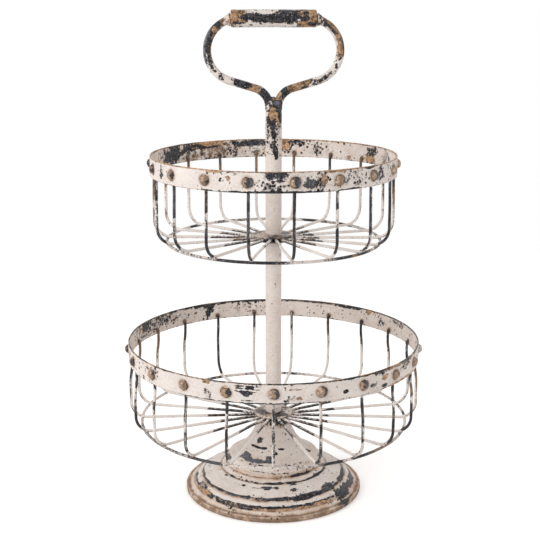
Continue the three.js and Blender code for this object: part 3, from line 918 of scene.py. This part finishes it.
BAND_PATCHES = {
    # u is millimetres round from the front, v is the height above the band's lower edge
    ("upper", "outside"): [
        (165, 12, 62, 11, 0.32, 0), (30, 12, 70, 11, 0.26, 0), (2, 17, 13, 7, 0.56, -0.1),
        (3, 19.5, 11, 3, 0.84, -0.1), (-1, 7, 13, 7, 0.48, 0), (-12, 12, 3, 7, 0.3, 0),
        (40, 10, 8, 5, 0.8, -0.32), (51, 11, 6, 10, 0.5, 0.15), (54.5, 13.5, 3, 4, 0.9, 1),
        (95, 13, 16, 9, 0.42, 0.1), (138, 12, 8, 9, 0.52, 0.1), (118, 22, 12, 1.6, 0.85, 0.05),
        (-49.5, 15.8, 2.3, 3.6, 0.95, 1), (-66, 22, 11, 1.9, 0.88, 1), (-48, 21, 9, 2.2, 0.52, 0.1),
        (68, 22, 11, 2, 0.88, 1), (-152, 12, 4, 8, 0.6, 0.1), (-95, 11, 24, 9, 0.04, 0.2),
        (-8, 0.7, 64, 1.5, 0.9, 0), (89, 0.7, 15, 1.6, 0.9, 0), (330, 11, 40, 9, 0.5, 0.3),
        (-300, 14, 25, 8, 0.55, 0.1), (215, 9, 22, 8, 0.42, 0.2), (-215, 15, 12, 7, 0.7, 0.9),
        (420, 14, 26, 8, 0.6, 0.05),
    ],
    ("upper", "inside"): [
        (-300, 11, 20, 12, 0.76, -0.1), (-332, 16, 13, 7, 0.74, -0.1), (-334, 6, 14, 6, 0.5, 0.5),
        (-362, 18, 20, 5, 0.86, 0.85), (-356, 16, 7, 1.8, 0.9, 0), (-348, 18.5, 7, 1.6, 0.9, 0),
        (-372, 14, 9, 3, 0.9, 0), (-372, 7, 26, 8, 0.5, 0.5), (-398, 12, 14, 10, 0.52, 0.45),
        (-427, 18, 20, 5, 0.72, -0.1), (-425, 8, 20, 5, 0.42, 0.05), (-268, 12, 8, 7, 0.4, 0.1),
        (437, 15, 6, 8, 0.95, 1), (421, 18, 11, 4, 0.62, 0), (396, 11, 7, 8, 0.48, 0),
        (347, 4, 3, 2.4, 0.9, 1), (309, 6, 9, 5, 0.9, 1), (304, 15, 11, 6, 0.64, 0.05),
        (272, 12, 17, 9, 0.4, 0.1),
    ],
    ("lower", "outside"): [
        (-37, 19.6, 6, 1, 0.78, 0), (-24, 19.2, 9, 1.1, 0.78, 0), (-30, 17, 11, 0.9, 0.72, 0),
        (-19, 16.2, 4, 0.9, 0.75, 0), (-29, 13.2, 10, 1.2, 0.9, -0.1), (-29, 11.2, 6.5, 1.2, 0.9, -0.1),
        (-29, 9.2, 3, 1.3, 0.9, -0.1), (-30, 3.6, 6, 0.9, 0.7, 0), (-41, 14, 2, 0.9, 0.75, 0),
        (-75.5, 20.3, 4.5, 2.2, 0.95, 1), (-75, 9, 5, 6, 0.46, 0), (27, 6.3, 3.6, 2, 0.92, 1),
        (25, 16, 9, 1.4, 0.52, 0.7), (17, 5, 8, 4, 0.42, 0.3), (82, 8, 3, 2, 0.88, 0),
        (136.5, 13, 5, 4, 0.9, 1), (130, 19, 8, 2.2, 0.62, 0), (137, 4, 5, 2.4, 0.7, 0),
        (119, 8, 6, 3, 0.5, 0), (165, 21.8, 44, 2.2, 0.82, 0.6), (95, 22.3, 40, 1.4, 0.72, 0.2),
        (180, 16, 14, 5, 0.55, 0.2), (175, 0.9, 30, 1.8, 0.88, 0.9), (-20, 0.4, 75, 1, 0.8, 0.05),
        (-165, 14, 26, 8, 0.34, 0.1), (260, 12, 30, 9, 0.5, 0.2), (-260, 12, 30, 8, 0.5, 0.1),
        (350, 16, 9, 7, 0.85, 0), (450, 9, 22, 8, 0.5, 0.4), (-400, 13, 16, 8, 0.6, 0.8),
        (-120, 11, 20, 8, 0.03, 0.2),
    ],
    ("lower", "inside"): [
        (-459, 19, 8, 5, 0.95, 0), (-458, 13, 6, 4, 0.95, 0), (-457, 8, 4, 4, 0.92, 0),
        (-456, 3, 2, 3.5, 0.9, 0), (-372, 15, 52, 8, 0.47, 0.05), (-372, 20.5, 44, 2.4, 0.54, 0.05),
        (-335, 15, 9, 6, 0.8, 0.05), (-322, 16, 4, 4, 0.9, 1), (-345, 7, 22, 5, 0.45, 0.1),
        (-505, 16, 12, 4, 0.42, 0), (407, 20, 5, 3, 0.92, 1), (443, 21, 20, 2.4, 0.72, 0.05),
        (385, 10, 9, 6, 0.42, 0.4), (500, 22, 60, 1.9, 0.62, 0.05), (-480, 21.8, 75, 2.1, 0.64, 0.05),
        (345, 19, 14, 4, 0.55, 0.1), (-250, 12, 20, 8, 0.4, 0.2), (250, 12, 20, 8, 0.4, 0.2),
    ],
}


def rivet_angle(basket, i):
    """The angle round the post of a rivet and its wire, from the front towards +X."""
    return math.radians(basket.first + 360 / basket.rivets * i)


def outward_at(angle):
    """The level direction away from the post at an angle."""
    return Vector((math.sin(angle), -math.cos(angle), 0))


def band_section():
    """The strip's section, as a closed loop of (inset, height), with rounded edges."""
    half = BAND_THICKNESS / 2
    corners = [(half, 0, 0), (0, 0, BAND_EDGE), (0, BAND_HEIGHT, BAND_EDGE), (half, BAND_HEIGHT, 0)]
    outside = divided(rounded(corners, 3), lambda length: BAND_ROWS if length > BAND_HEIGHT / 2 else 1)
    return outside + [Vector((BAND_THICKNESS - point.x, point.y)) for point in reversed(outside[1:-1])]


def build_band(basket, bottom, paint):
    radius = basket.radius
    section = band_section()
    rings = []
    for i in range(BAND_STEPS):
        outward = outward_at(math.tau * i / BAND_STEPS)
        sway = soft(outward, *BAND_SWAY, Vector((basket.rivets, 0, 0)))
        lift = soft(outward * radius, *BAND_LIFT, Vector((0, basket.rivets, 0)))
        ring = []
        for inset, height in section:
            hump = soft(outward * radius + UP * height, *BAND_HUMP)
            ring.append(outward * (radius - inset + sway + hump) + UP * (bottom + height + lift))
        rings.append(ring)
    coat = Coat(loft(f"{basket.name}_rim_band", rings, True), "band", basket.rivets)
    height = coat.z - bottom
    outside = np.hypot(coat.x, coat.y) > radius - BAND_THICKNESS / 2
    top_edge = ramp(height, *TOP_EDGE)
    bottom_edge = ramp(height, *BOTTOM_EDGE)
    lip = ramp(height, *LIP)
    coat.wear += np.where(outside, *BAND_WEAR)
    coat.blend(top_edge, wear=TOP_WEAR, bronze=(basket.edge, TOP_BRONZE_LUMPS))
    coat.blend(bottom_edge, wear=BOTTOM_WEAR)
    for face, away in (("outside", ~outside), ("inside", outside)):
        coat.lay(BAND_PATCHES[basket.name, face], coat.angle * radius, height, away)
    coat.bare(lip, LIP_WEAR)
    coat.blend(lip, bronze=(basket.edge, LIP_BRONZE_LUMPS))
    pitch = math.tau / basket.rivets
    phase = (coat.angle - rivet_angle(basket, 0) + pitch / 2) % pitch - pitch / 2
    beside = np.hypot(phase * radius, height - np.where(outside, BAND_HEIGHT / 2, WIRE_LAP))
    stain_and_shade_reach = np.where(outside, *STAIN_AND_SHADE_REACH)
    # Inside the band the soil is higher, as painted shade
    coat.soil_and_shade += np.where(outside, *BAND_SOIL_AND_INSIDE_SHADE) + EDGE_SOIL * np.maximum(top_edge, bottom_edge)
    # Round the rivets the soil is dirt and a painted shade ring; round the welds inside it is a stain
    coat.soil_and_shade += STAIN_AND_SHADE_DEPTH * ramp(beside, stain_and_shade_reach, stain_and_shade_reach - STAIN_AND_SHADE_FADE)
    coat.dress(paint, f"{basket.name}_band")


def wire_path(basket, spoke_z, bottom, angle, luck):
    """One wire from behind the band, down, round the bend and in to the hub."""
    down = -math.pi / 2
    pen = Pen(basket.radius - BAND_THICKNESS - FIT_GAP - WIRE_RADIUS, bottom + WIRE_LAP, down)
    pen.run(WIRE_LAP + BOW_START)
    pen.sidestep(BOW_LENGTH, basket.bow, BOW_POINTS)
    pen.run(pen.place.y - spoke_z - BEND_RADIUS)
    pen.turn(BEND_RADIUS, down, BEND_POINTS)
    pen.run(pen.place.x - SPOKE_END)
    beside = Vector((math.cos(angle), math.sin(angle), 0))
    sway = WIRE_SWAY * luck.uniform(-1, 1)
    phase = luck.uniform(0, 6)
    wave, waves = WIRE_WAVE
    path = []
    for i, point in enumerate(pen.points):
        share = i / (len(pen.points) - 1)
        loose = math.sin(math.pi * share) ** WIRE_HOLD
        drift = loose * (sway + wave * math.sin(waves * share + phase))
        path.append(outward_at(angle) * point.x + beside * drift + UP * point.y)
    return path


def wire_wear(basket, path, rings, angle, index, luck):
    """Wear and bronze along a wire: bare in stretches down its side, and between hub and mid-spoke."""
    in_front = math.cos(angle) > FRONT_COSINE
    top = path[0].z
    drop = top - path[-1].z
    near = luck.uniform(*BARE_FROM)
    far = basket.bare * luck.uniform(*BARE_TO)
    drawn = [luck.uniform(*span) for span in BARE_RUNS]
    bare_top, again, again_end = basket.wire_runs.get(index, drawn)
    fixed = basket.wire_levels.get(index)
    tone = luck.uniform(*(FRONT_TONE if in_front else basket.back_tone))
    seed = luck.uniform(0, 90)
    wear = []
    bronze = []
    for i, (point, ring) in enumerate(zip(path, rings)):
        radius = math.hypot(point.x, point.y)
        down = (top - point.z) / drop
        on_floor = down > SPOKE_START
        stretch = noise.noise(Vector((i * WIRE_STEP / STRETCH_SIZE, seed, 0)))
        twist = TWIST * noise.noise(Vector((i * WIRE_STEP / TWIST_SIZE, seed + TWIST_SEED, 0)))
        rubbed = 0.0
        if on_floor:
            level = HUB_END_WEAR if radius <= near else basket.spoke if radius < far else OUTER_END_WEAR
            rubbed = SPOKE_BRONZE
            stretch *= SPOKE_STRETCH
        elif fixed is not None:
            level = fixed
        elif not in_front:
            level = BACK_WEAR - BACK_FADE * min(1.0, max(0.0, down / bare_top - 0.5))
            rubbed = tone
        elif down < bare_top:
            level = BARE_WEAR
            rubbed = tone
        else:
            level = AGAIN_WEAR if again < down < again_end else KEPT_WEAR
        for j, corner in enumerate(ring):
            if on_floor:
                # On a spoke the top is worn less and the underside more: painted light and shade
                lean = SPOKE_SHADE_LEAN * (corner.z - point.z) / WIRE_RADIUS
            elif in_front:
                lean = FRONT_LEAN * math.cos(math.tau * j / WIRE_SIDES + twist)
            else:
                lean = BACK_LEAN * (math.hypot(corner.x, corner.y) - radius) / WIRE_RADIUS + BACK_EXTRA
            wear.append(level + STRETCH_WEAR * stretch + lean)
            bronze.append(rubbed + STRETCH_BRONZE * stretch)
    return wear, bronze


def build_wires(basket, bottom, plate_z, paint):
    luck = random.Random(basket.rivets)
    plate_top = plate_z + UNDER_PLATE
    spoke_z = plate_top - WELD_SINK + WIRE_RADIUS
    parts = []
    for i in range(basket.rivets):
        angle = rivet_angle(basket, i)
        path = wire_path(basket, spoke_z, bottom, angle, luck)
        radii = [WIRE_RADIUS * (1 + soft(point, *WIRE_LUMPS)) for point in path]
        rings = tube_rings(path, radii, WIRE_SIDES)
        parts.append((loft("wire", rings), *wire_wear(basket, path, rings, angle, i, luck), WIRE_SOIL))
        spot = path[0] + outward_at(angle) * WELD_OUT - UP * WELD_DROP
        parts.append((blob("weld", spot, WELD_SIZE, i, angle), *WELD_COAT))
    plate = plate_outline(plate_z, plate_top, UNDER_PLATE_RADIUS, UNDER_PLATE_ROUND, steps=3)
    parts.append((turned("under_plate", plate, UNDER_PLATE_STEPS), *UNDER_PLATE_COAT))
    cage, *coats = join(f"{basket.name}_wires", parts)
    dress(cage, paint, f"{basket.name}_wire_cage", coats)


RING_PATCHES = {
    # A patch is its middle and half width in degrees round from the front, its wear and its bronze
    "upper": [
        (-12, 16, 0.72, 0), (17, 9, 0.22, 0.2), (44, 14, 0.7, 0.1), (45, 2, 0.8, 1), (-60, 28, 0.42, 0.1),
        (155, 6, 0.8, 0),
    ],
    "lower": [
        (-8, 15, 0.28, 0.2), (-27, 6, 0.75, -0.2), (-60, 24, 0.5, 0.05), (25, 3.6, 0.78, 0),
        (31, 2, 0.2, 0.2), (37.5, 4.5, 0.74, 0), (51, 9, 0.55, 0.6),
    ],
}


def build_ring(basket, paint):
    node = f"{basket.name}_floor_ring"
    bottom, top, edge = extent(node)
    radius = edge - WIRE_RADIUS
    middle = UP * ((bottom + top) / 2)
    angles = [math.tau * j / WIRE_SIDES for j in range(WIRE_SIDES)]
    rings = []
    for i in range(RING_STEPS):
        outward = outward_at(math.tau * i / RING_STEPS)
        sway = soft(outward, *RING_SWAY, UP * basket.rivets)
        point = outward * (radius + sway) + middle
        rings.append([point + (outward * math.cos(a) + UP * math.sin(a)) * WIRE_RADIUS for a in angles])
    coat = Coat(loft("ring", rings, True), "ring", basket.rivets)
    patches = [(place, 0, half, 1, worn, rubbed) for place, half, worn, rubbed in RING_PATCHES[basket.name]]
    coat.lay(patches, np.degrees(coat.angle), 0)
    parts = [(coat.piece, coat.wear, coat.bronze, coat.soil_and_shade)]
    for i in range(basket.rivets):
        spot = outward_at(rivet_angle(basket, i)) * (radius - RING_WELD_IN) + middle + UP * RING_WELD_RISE
        parts.append((blob("weld", spot, RING_WELD, i + RING_WELD_SEED), *RING_WELD_COAT))
    ring, *coats = join(f"{basket.name}_ring", parts)
    dress(ring, paint, node, coats)


HUB_PATCHES = {
    # u and v are x and y in millimetres
    "upper": [(6, -13, 9, 5, 0.6, 0.2), (14, 3, 6, 8, 0.75, 0), (-12, -5, 7, 8, 0.4, 0.9)],
    "lower": [
        (8, -13, 8, 6, 0.95, 0), (9, -3, 4, 4, 0.85, 0), (-13, -5, 6, 9, 0.62, 0.1),
        (-5, -15, 4, 4, 0.5, 0.9),
    ],
}


def build_hub(basket, paint):
    node = f"{basket.name}_hub_plate"
    bottom, top, edge = extent(node)
    outline = plate_outline(bottom, top, edge, HUB_ROUND)
    outline[-1:-1] = [(edge * share, top) for share in HUB_ROWS]
    coat = Coat(turned(f"{basket.name}_hub", outline, PLATE_STEPS), "hub", basket.rivets)
    coat.lay(HUB_PATCHES[basket.name], coat.x, coat.y)
    coat.dress(paint, node)


def rivet_rings(seed):
    """A domed rivet standing on z = 0, with its shank and flattened tail below."""
    outline = list(RIVET_PROFILE)
    for i in range(DOME_POINTS):
        angle = math.pi / 2 * i / DOME_POINTS
        outline.append((DOME_RADIUS * math.cos(angle), DOME_FOOT + RIVET_DOME * math.sin(angle)))
    outline.append((0.4, DOME_FOOT + RIVET_DOME))
    rings = []
    for circle in circles(outline, RIVET_SIDES):
        ring = []
        for x, y, z in circle:
            dent = RIVET_DENT * noise.noise(Vector((x / 4 + seed * 3.7, y / 4, z / 3 + seed)))
            share = 1 + dent / RIVET_RADIUS if z > 0 else 1
            ring.append((x * share, y * share, z + (dent * 0.6 if z > 0.4 else 0)))
        rings.append(ring)
    return rings


def build_rivets(basket, bottom, paint):
    luck = random.Random(basket.rivets + RIVET_SEED)
    seat = Matrix.Translation((0, -basket.radius, bottom + BAND_HEIGHT / 2))
    upright = Matrix.Rotation(math.pi / 2, 4, "X")
    for i in range(basket.rivets):
        angle = rivet_angle(basket, i)
        place = Matrix.Rotation(angle, 4, "Z") @ seat @ upright
        rings = rivet_rings(i + basket.rivets)
        rivet = loft(f"{basket.name}_dome_rivet_{i + 1:02d}", rings, place=place)
        x, y, z = places(rivet)
        above = np.hypot(x, y) - basket.radius
        dome = above > (RIVET_FLANGE + DOME_FOOT) / 2
        behind = above < -0.1
        flange = ~behind & (above < RIVET_FLANGE - 0.05)
        level, rubbed = DARK_RIVET
        if i not in basket.dark_rivets:
            level = luck.uniform(*basket.rivet_wear)
            rubbed = luck.uniform(*RIVET_BRONZE)
        level, rubbed = basket.rivet_marks.get(i, (level, rubbed))
        rightward = x * math.cos(angle) + y * math.sin(angle)
        face = list(zip(rightward, z, np.zeros(len(z))))
        # The slope paints each dome lighter on its left and darker on its right: painted light and shade
        worn, mottled_and_shaded = (
            value + strength * ripple(face, size, i + seed) + slope * rightward
            for value, (strength, size, seed, slope) in zip((level, rubbed), RIVET_NOISE_AND_SHADE)
        )
        tail = np.full((2, 1), TAIL_COAT)
        around = np.array([(angle + math.pi) % math.tau - math.pi]) * basket.radius
        lay_patches(BAND_PATCHES[basket.name, "inside"], around, BAND_HEIGHT / 2, *tail)
        # The crease between flange and dome gets a dark line of wear that is a painted shadow
        wear = np.select([dome, flange, behind], [worn, FLANGE_WEAR, tail[0]], RIVET_CREASE_SHADE)
        bronze = np.select([dome, behind], [mottled_and_shaded, tail[1]], 0.0)
        soil_and_shade = np.where(behind, *RIVET_SOIL)
        dress(rivet, paint, f"{basket.name}_rivet_{i + 1:02d}", (wear, bronze, soil_and_shade))


def build_basket(basket, paints):
    bottom = extent(f"{basket.name}_band")[0]
    plate_z = extent(f"{basket.name}_wire_cage")[0]
    build_band(basket, bottom, paints["cream"])
    build_wires(basket, bottom, plate_z, paints["wire"])
    build_ring(basket, paints["wire"])
    build_hub(basket, paints["wire"])
    build_rivets(basket, bottom, paints["rivet"])


# Post, cap and handle

POST_PATCHES = {
    # u is millimetres round from the front, v is the height
    "lower_post": [(2, 262, 0.9, 1.4, 0.9, 0), (2.4, 258, 0.8, 1.2, 0.9, 0), (9, 296, 1, 4, 0.7, 0)],
    "upper_post": [
        (0, 436, 400, 26, 0.34, 0), (-1, 462, 6, 8, 0.92, 1), (7, 455, 3.5, 6, 0.9, 0.95),
        (9.5, 461, 3.5, 7, 0.9, 0), (0, 445, 3.6, 13, 0.76, 0), (-7, 455, 3.6, 6, 0.7, 0.15),
        (-6, 437, 4, 9, 0.5, 0), (5, 441, 4, 8, 0.38, 0), (2.5, 419, 3.2, 7, 0.92, 0),
        (-2, 428, 6, 5, 0.55, 0), (22, 452, 9, 14, 0.7, 0.5), (-22, 448, 8, 16, 0.65, 0.35),
        (28, 425, 6, 10, 0.5, 0), (-17, 415, 5, 8, 0.45, 0.1),
    ],
}


def build_post(node, paint):
    bottom, top, _ = extent(node)
    rows = np.linspace(bottom + POST_EDGE, top - POST_EDGE, round((top - bottom) / POST_ROW) + 1)
    bore = POST_RADIUS - POST_WALL
    bevel = POST_RADIUS - POST_EDGE
    outline = [(bore, bottom), (bevel, bottom), *((POST_RADIUS, z) for z in rows), (bevel, top), (bore, top)]
    coat = Coat(turned(f"{node}_tube", outline, POST_SIDES, dents(*POST_DENTS)), "post")
    coat.lay(POST_PATCHES[node], coat.angle * POST_RADIUS, coat.z)
    coat.dress(paint, node)


def handle_path():
    """The middle of the handle's rod, from the left leg round the loop to the right one."""
    pen = Pen(-LEG_X, extent("handle_rod")[0], math.pi / 2)
    pen.run(LEG_LENGTH)
    pen.turn(LEG_BEND_RADIUS, LEG_BEND_ANGLE, LEG_BEND_POINTS)
    pen.run(ARM_LENGTH)
    pen.turn(SIDE_RADIUS, -math.pi / 2 - LEG_BEND_ANGLE, SIDE_POINTS)
    pen.run(-pen.place.x)
    half = [Vector((point.x, 0, point.y)) for point in pen.points]
    return half + [Vector((-point.x, 0, point.z)) for point in reversed(half[:-1])]


ROD_PATCHES = [
    # u is millimetres along from the left leg, v is millimetres round from the front, out of the loop
    (72, 0, 19, 22, 0.16, 0.2), (338, 0, 30, 22, 0.16, 0.2), (13, 0, 10, 22, 0.82, 0),
    (13, 5, 11, 3, 0.8, -0.6), (32, 0, 9, 22, 0.8, 0.78), (48, -1, 10, 6, 0.74, 0), (70, 0, 5, 3, 0.48, 0),
    # The grey strip at 116 on the outside of the left arc is a painted highlight of the lamp on the black
    # paint
    (88, 0, 4, 1.6, 0.85, 0.1), (117, 0, 17, 22, 0.66, 0.05), (116, 6.4, 20, 3.4, 0.7, -0.95),
    (110, -6, 13, 1.6, 0.6, 0.9), (134, -2, 6, 6, 0.7, 0.9), (141, 1, 5, 6, 0.8, 0), (151, 0, 8, 8, 0.7, 0.8),
    (262, 0, 10, 22, 0.7, 0.35), (276, -2, 5, 3, 0.72, 0), (276, 5, 12, 4, 0.8, 0.8),
    (294, -1, 15, 4.5, 0.84, 0.8), (295, 7, 8, 3, 0.9, 0), (284, -6.8, 25, 4.4, 0.2, 0.3),
    (311, 0.6, 2.6, 1.6, 0.85, 0), (320, 0.8, 2.4, 1.6, 0.85, 0),
    (340, 0.2, 17, 3, 0.56, 0), (374, -1, 13, 22, 0.82, 0.78), (361, -4, 9, 6, 0.82, 0.8),
    (361, 3.4, 5, 2.2, 0.7, 0), (389, 2, 6, 6, 0.76, 0), (396, -5, 8, 5, 0.85, 1), (402, 2, 8, 6, 0.78, 0),
]


def build_rod(path, paint):
    radii = []
    ways = []
    for point, way in zip(path, ways_along(path)):
        past_grip = abs(point.x) - GRIP_LENGTH / 2
        on_loop = point.z > path[0].z + SIDE_RADIUS
        share = min(1.0, max(0.0, past_grip / SHOULDER_LENGTH)) if on_loop else 1.0
        rise = SHOULDER_RISE * (1 - share) ** SHOULDER_CURVE if past_grip > SHOULDER_GAP else 0.0
        radii.append(ROD_RADIUS * (1 + soft(point, *ROD_LUMPS)) + rise)
        ways.append(Vector((1, 0, 0)).lerp(way.normalized(), share))
    coat = Coat(loft("handle_loop", tube_rings(path, radii, ROD_SIDES, ways)), "rod")
    along = np.cumsum([0] + [(after - before).length for before, after in zip(path, path[1:])])
    middle_x, _, middle_z = np.repeat(np.array(path), ROD_SIDES, axis=0).T
    centre_z = path[len(path) // 2].z - SIDE_RADIUS
    outward = np.hypot(coat.x, coat.z - centre_z) - np.hypot(middle_x, middle_z - centre_z)
    around = np.arctan2(outward, -coat.y) * ROD_RADIUS
    coat.lay(ROD_PATCHES, np.repeat(along, ROD_SIDES) + coat.lumpy(0, ROD_FRAY), around)
    past, reach = GRIP_COLLAR
    collar = (np.abs(np.abs(coat.x) - GRIP_LENGTH / 2 - past) < reach) & (coat.z > centre_z)
    coat.blend(collar, **GRIP_COLLAR_COAT)
    coat.dress(paint, "handle_rod")


NECK_PATCHES = [
    # u is across from the post's axis, v is the height above the post's end
    (-9, 18, 6, 9, 0.85, 0), (-6, 7, 4, 4, 0.55, -0.1), (13, 21, 5, 6, 0.85, 0), (6, 17, 3, 7, 0.85, 1),
    (7, 4, 3, 8, 0.9, -0.1), (3, 10, 4, 3, 0.85, -0.5), (-8, 2, 3.5, 5, 0.42, 0), (-1, 0, 4, 6, 0.82, 0.8),
]


def build_cap(path, paint):
    """The weld that blends the two legs into the top of the post."""
    top = extent("post_cap")[1]
    pieces = []
    for leg in (path[:NECK_LEG_POINTS], path[-NECK_LEG_POINTS:]):
        pieces.append(loft("leg", tube_rings(leg, [NECK_LEG_RADIUS] * len(leg), ROD_SIDES)))
    collar = rounded([(radius, top + rise, rounding) for radius, rise, rounding in COLLAR])
    pieces.append(loft("collar", circles(collar, COLLAR_SIDES)))
    pieces.append(blob("fill", UP * (top + NECK_FILL_RISE), NECK_FILL, NECK_FILL_SEED))
    rough = join("neck_weld", [(piece,) for piece in pieces])[0]
    remesh = rough.modifiers.new("remesh", "REMESH")
    remesh.mode = "VOXEL"
    remesh.voxel_size = NECK_VOXEL * MM
    rough.modifiers.new("smooth", "SMOOTH").iterations = NECK_SMOOTHING
    work = bmesh.new()
    work.from_object(rough, bpy.context.evaluated_depsgraph_get())
    bpy.data.objects.remove(rough)
    coat = Coat(finished("neck_weld", work), "neck")
    coat.lay(NECK_PATCHES, coat.x, coat.z - (top - CAP_RISE))
    coat.dress(paint, "post_cap")


GRIP_PATCHES = [
    # u is millimetres along from the middle, v is millimetres round from the front, upward
    (-42, 0, 14, 22, 0.88, 1), (-14, -9, 36, 5, 0.14, 0.3), (-15, 10, 16, 5, 0.2, 0.3),
    (-20, 1.3, 15, 6.2, 0.84, 0), (0, 0.6, 31, 4.6, 0.8, 0), (16, 4, 14, 8, 0.82, 0),
    (-9, 9, 8, 4, 0.15, 0.3), (40, 0, 11, 22, 0.82, 0.9), (36, 6, 3, 3, 0.9, 0), (34, 0, 7, 3, 0.78, 0),
    (43, -7, 6, 3, 0.7, 0.1), (-26, -8, 2.2, 1.6, 0.86, 0.3), (-14, -6.5, 1.2, 1, 0.9, 0),
    (-40, -5, 8, 1.4, 0.8, 0),
    (-10, 22, 24, 8, 0.6, 0.2), (20, -22, 20, 8, 0.7, 0.7), (28, 18, 12, 6, 0.5, 0.3),
]


def build_grip(paint):
    bottom, top, _ = extent("handle_grip")
    axis_z = (bottom + top) / 2
    half = GRIP_LENGTH / 2
    sleeve = plate_outline(-half, half, GRIP_RADIUS, GRIP_ROUND, GRIP_BORE, steps=5, most=GRIP_ROUND_SHARE)
    sleeve = divided(sleeve, lambda length: GRIP_ROWS if length > half else 1)
    place = Matrix.Translation((0, 0, axis_z)) @ Matrix.Rotation(math.pi / 2, 4, "Y")
    coat = Coat(turned("grip_sleeve", sleeve, GRIP_STEPS, dents(*GRIP_DENTS), place), "grip")
    coat.lay(GRIP_PATCHES, coat.x, np.arctan2(coat.z - axis_z, -coat.y) * GRIP_RADIUS)
    coat.dress(paint, "handle_grip", "grip")


# Hardware inside the foot

def build_nut(node):
    """A hexagon nut whose corners are cut off by a cone at both ends."""
    bottom, top, _ = extent(node)
    flat = NUT_FLATS / 2
    corner = flat / math.cos(math.pi / 6)
    bevel = BOLT_BORE + NUT_BEVEL
    rows = [bottom + rise for rise in NUT_ROWS] + [top - rise for rise in reversed(NUT_ROWS)]
    outline = [(BOLT_BORE, bottom + NUT_BEVEL), (bevel, bottom), *((corner, z) for z in rows)]
    outline += [(bevel, top), (BOLT_BORE, top - NUT_BEVEL)]
    start, slope = NUT_CONE

    def flats(angle, radius, z):
        if radius < corner:
            return 0.0
        from_flat = (angle + math.pi / 6) % (math.pi / 3) - math.pi / 6
        cone = flat * start + slope * min(z - bottom, top - z)
        return min(flat / math.cos(from_flat), cone) - radius

    return turned("hexagon_nut", outline, PLATE_STEPS, flats)


def build_washer(node):
    return turned("flat_washer", plate_outline(*extent(node), WASHER_ROUND), PLATE_STEPS)


def build_tie_rod(node):
    """A rod with a cut thread on the end that takes the nut."""
    bottom, top, radius = extent(node)
    step = THREAD_PITCH / THREAD_ROWS
    threaded = [(step * i, THREAD_DEPTH) for i in range(round(THREAD_LENGTH / step))]
    plain = [(threaded[-1][0] + THREAD_PITCH, 0.0), (top - bottom, 0.0)]
    rings = []
    for rise, depth in threaded + plain:
        ring = []
        for j in range(TIE_ROD_SIDES):
            share = j / TIE_ROD_SIDES
            groove = abs(2 * ((rise / THREAD_PITCH - share) % 1) - 1)
            reach = min(radius - depth * groove, radius - TIE_ROD_POINT + rise)
            angle = math.tau * share
            ring.append((reach * math.cos(angle), reach * math.sin(angle), bottom + rise))
        rings.append(ring)
    return loft("threaded_tie_rod", rings)


def build_hardware():
    zinc = (zinc_steel(), "bare_steel")
    makers = {"tie_rod": build_tie_rod, "foot_washer": build_washer, "foot_nut": build_nut}
    for node, make in makers.items():
        mount(make(node), zinc, node)


# Stage

def build_stage():
    scene = bpy.context.scene
    scene.view_settings.view_transform = "Standard"
    lens = bpy.data.cameras.new("camera")
    lens.lens = CAMERA_LENS
    lens.sensor_width = SENSOR_WIDTH
    scene.camera = put("camera", lens)
    scene.camera.location = CAMERA_PLACE
    scene.camera.rotation_euler = (math.radians(CAMERA_TILT), 0, 0)

    mesh = bpy.data.meshes.new("floor")
    corners = [(x * FLOOR_REACH, y * FLOOR_REACH, 0) for x, y in ((-1, -1), (1, -1), (1, 1), (-1, 1))]
    mesh.from_pydata(corners, [], [(0, 1, 2, 3)])
    mesh.materials.append(pale_floor())
    floor = put("floor", mesh)
    floor.location.z = -FLOOR_DROP

    scene.world = bpy.data.worlds.new("studio")
    graph = Graph(scene.world)
    light = graph.node("ShaderNodeBackground", {"Color": srgb(ROOM), "Strength": ROOM_LIGHT})
    white = graph.node("ShaderNodeBackground", {"Color": WHITE, "Strength": 1.0})
    both = graph.node("ShaderNodeMixShader", {0: graph.seen(), 1: light.outputs[0], 2: white.outputs[0]})
    graph.node("ShaderNodeOutputWorld", {"Surface": both.outputs[0]})
    for name, lamp in LAMPS.items():
        add_lamp(name, *lamp)


def pale_floor():
    """A pale floor that takes the stand's shadow and turns to plain white further out."""
    material = bpy.data.materials.new("pale_floor")
    graph = Graph(material)
    seen = graph.seen()
    inputs = {
        "Base Color": (FLOOR_GREY, FLOOR_GREY, FLOOR_GREY, 1),
        "Roughness": FLOOR_ROUGHNESS,
        "Emission Color": WHITE,
        "Emission Strength": graph.math("MULTIPLY", seen, FLOOR_LIFT),
    }
    near = graph.node("ShaderNodeBsdfPrincipled", inputs)
    far = graph.node("ShaderNodeEmission", {"Color": WHITE, "Strength": 1.0})
    where = graph.node("ShaderNodeTexCoord").outputs["Object"]
    distance = graph.node("ShaderNodeVectorMath", {0: where}, operation="LENGTH").outputs["Value"]
    share = graph.math("MULTIPLY", seen, graph.step(distance, *FLOOR_FADE))
    both = graph.node("ShaderNodeMixShader", {0: share, 1: near.outputs[0], 2: far.outputs[0]})
    graph.node("ShaderNodeOutputMaterial", {"Surface": both.outputs[0]})
    return material


def add_lamp(name, place, size, power):
    """A soft square lamp that looks at the middle of the stand."""
    data = bpy.data.lights.new(name, "AREA")
    data.size = size
    data.energy = power
    lamp = put(name, data)
    lamp.location = place
    lamp.rotation_euler = (LAMP_AIM - Vector(place)).to_track_quat("-Z", "Y").to_euler()


def build_all():
    paints = {}
    for name, (slot, *look) in PAINTS.items():
        paints[name] = (distressed_paint(f"{name}_paint", *look), slot)
    build_foot(paints["cream"])
    for basket in BASKETS:
        build_basket(basket, paints)
    for node in POST_PATCHES:
        build_post(node, paints["cream"])
    path = handle_path()
    build_rod(path, paints["handle"])
    build_cap(path, paints["handle"])
    build_grip(paints["handle"])
    build_hardware()
    build_stage()


build_all()
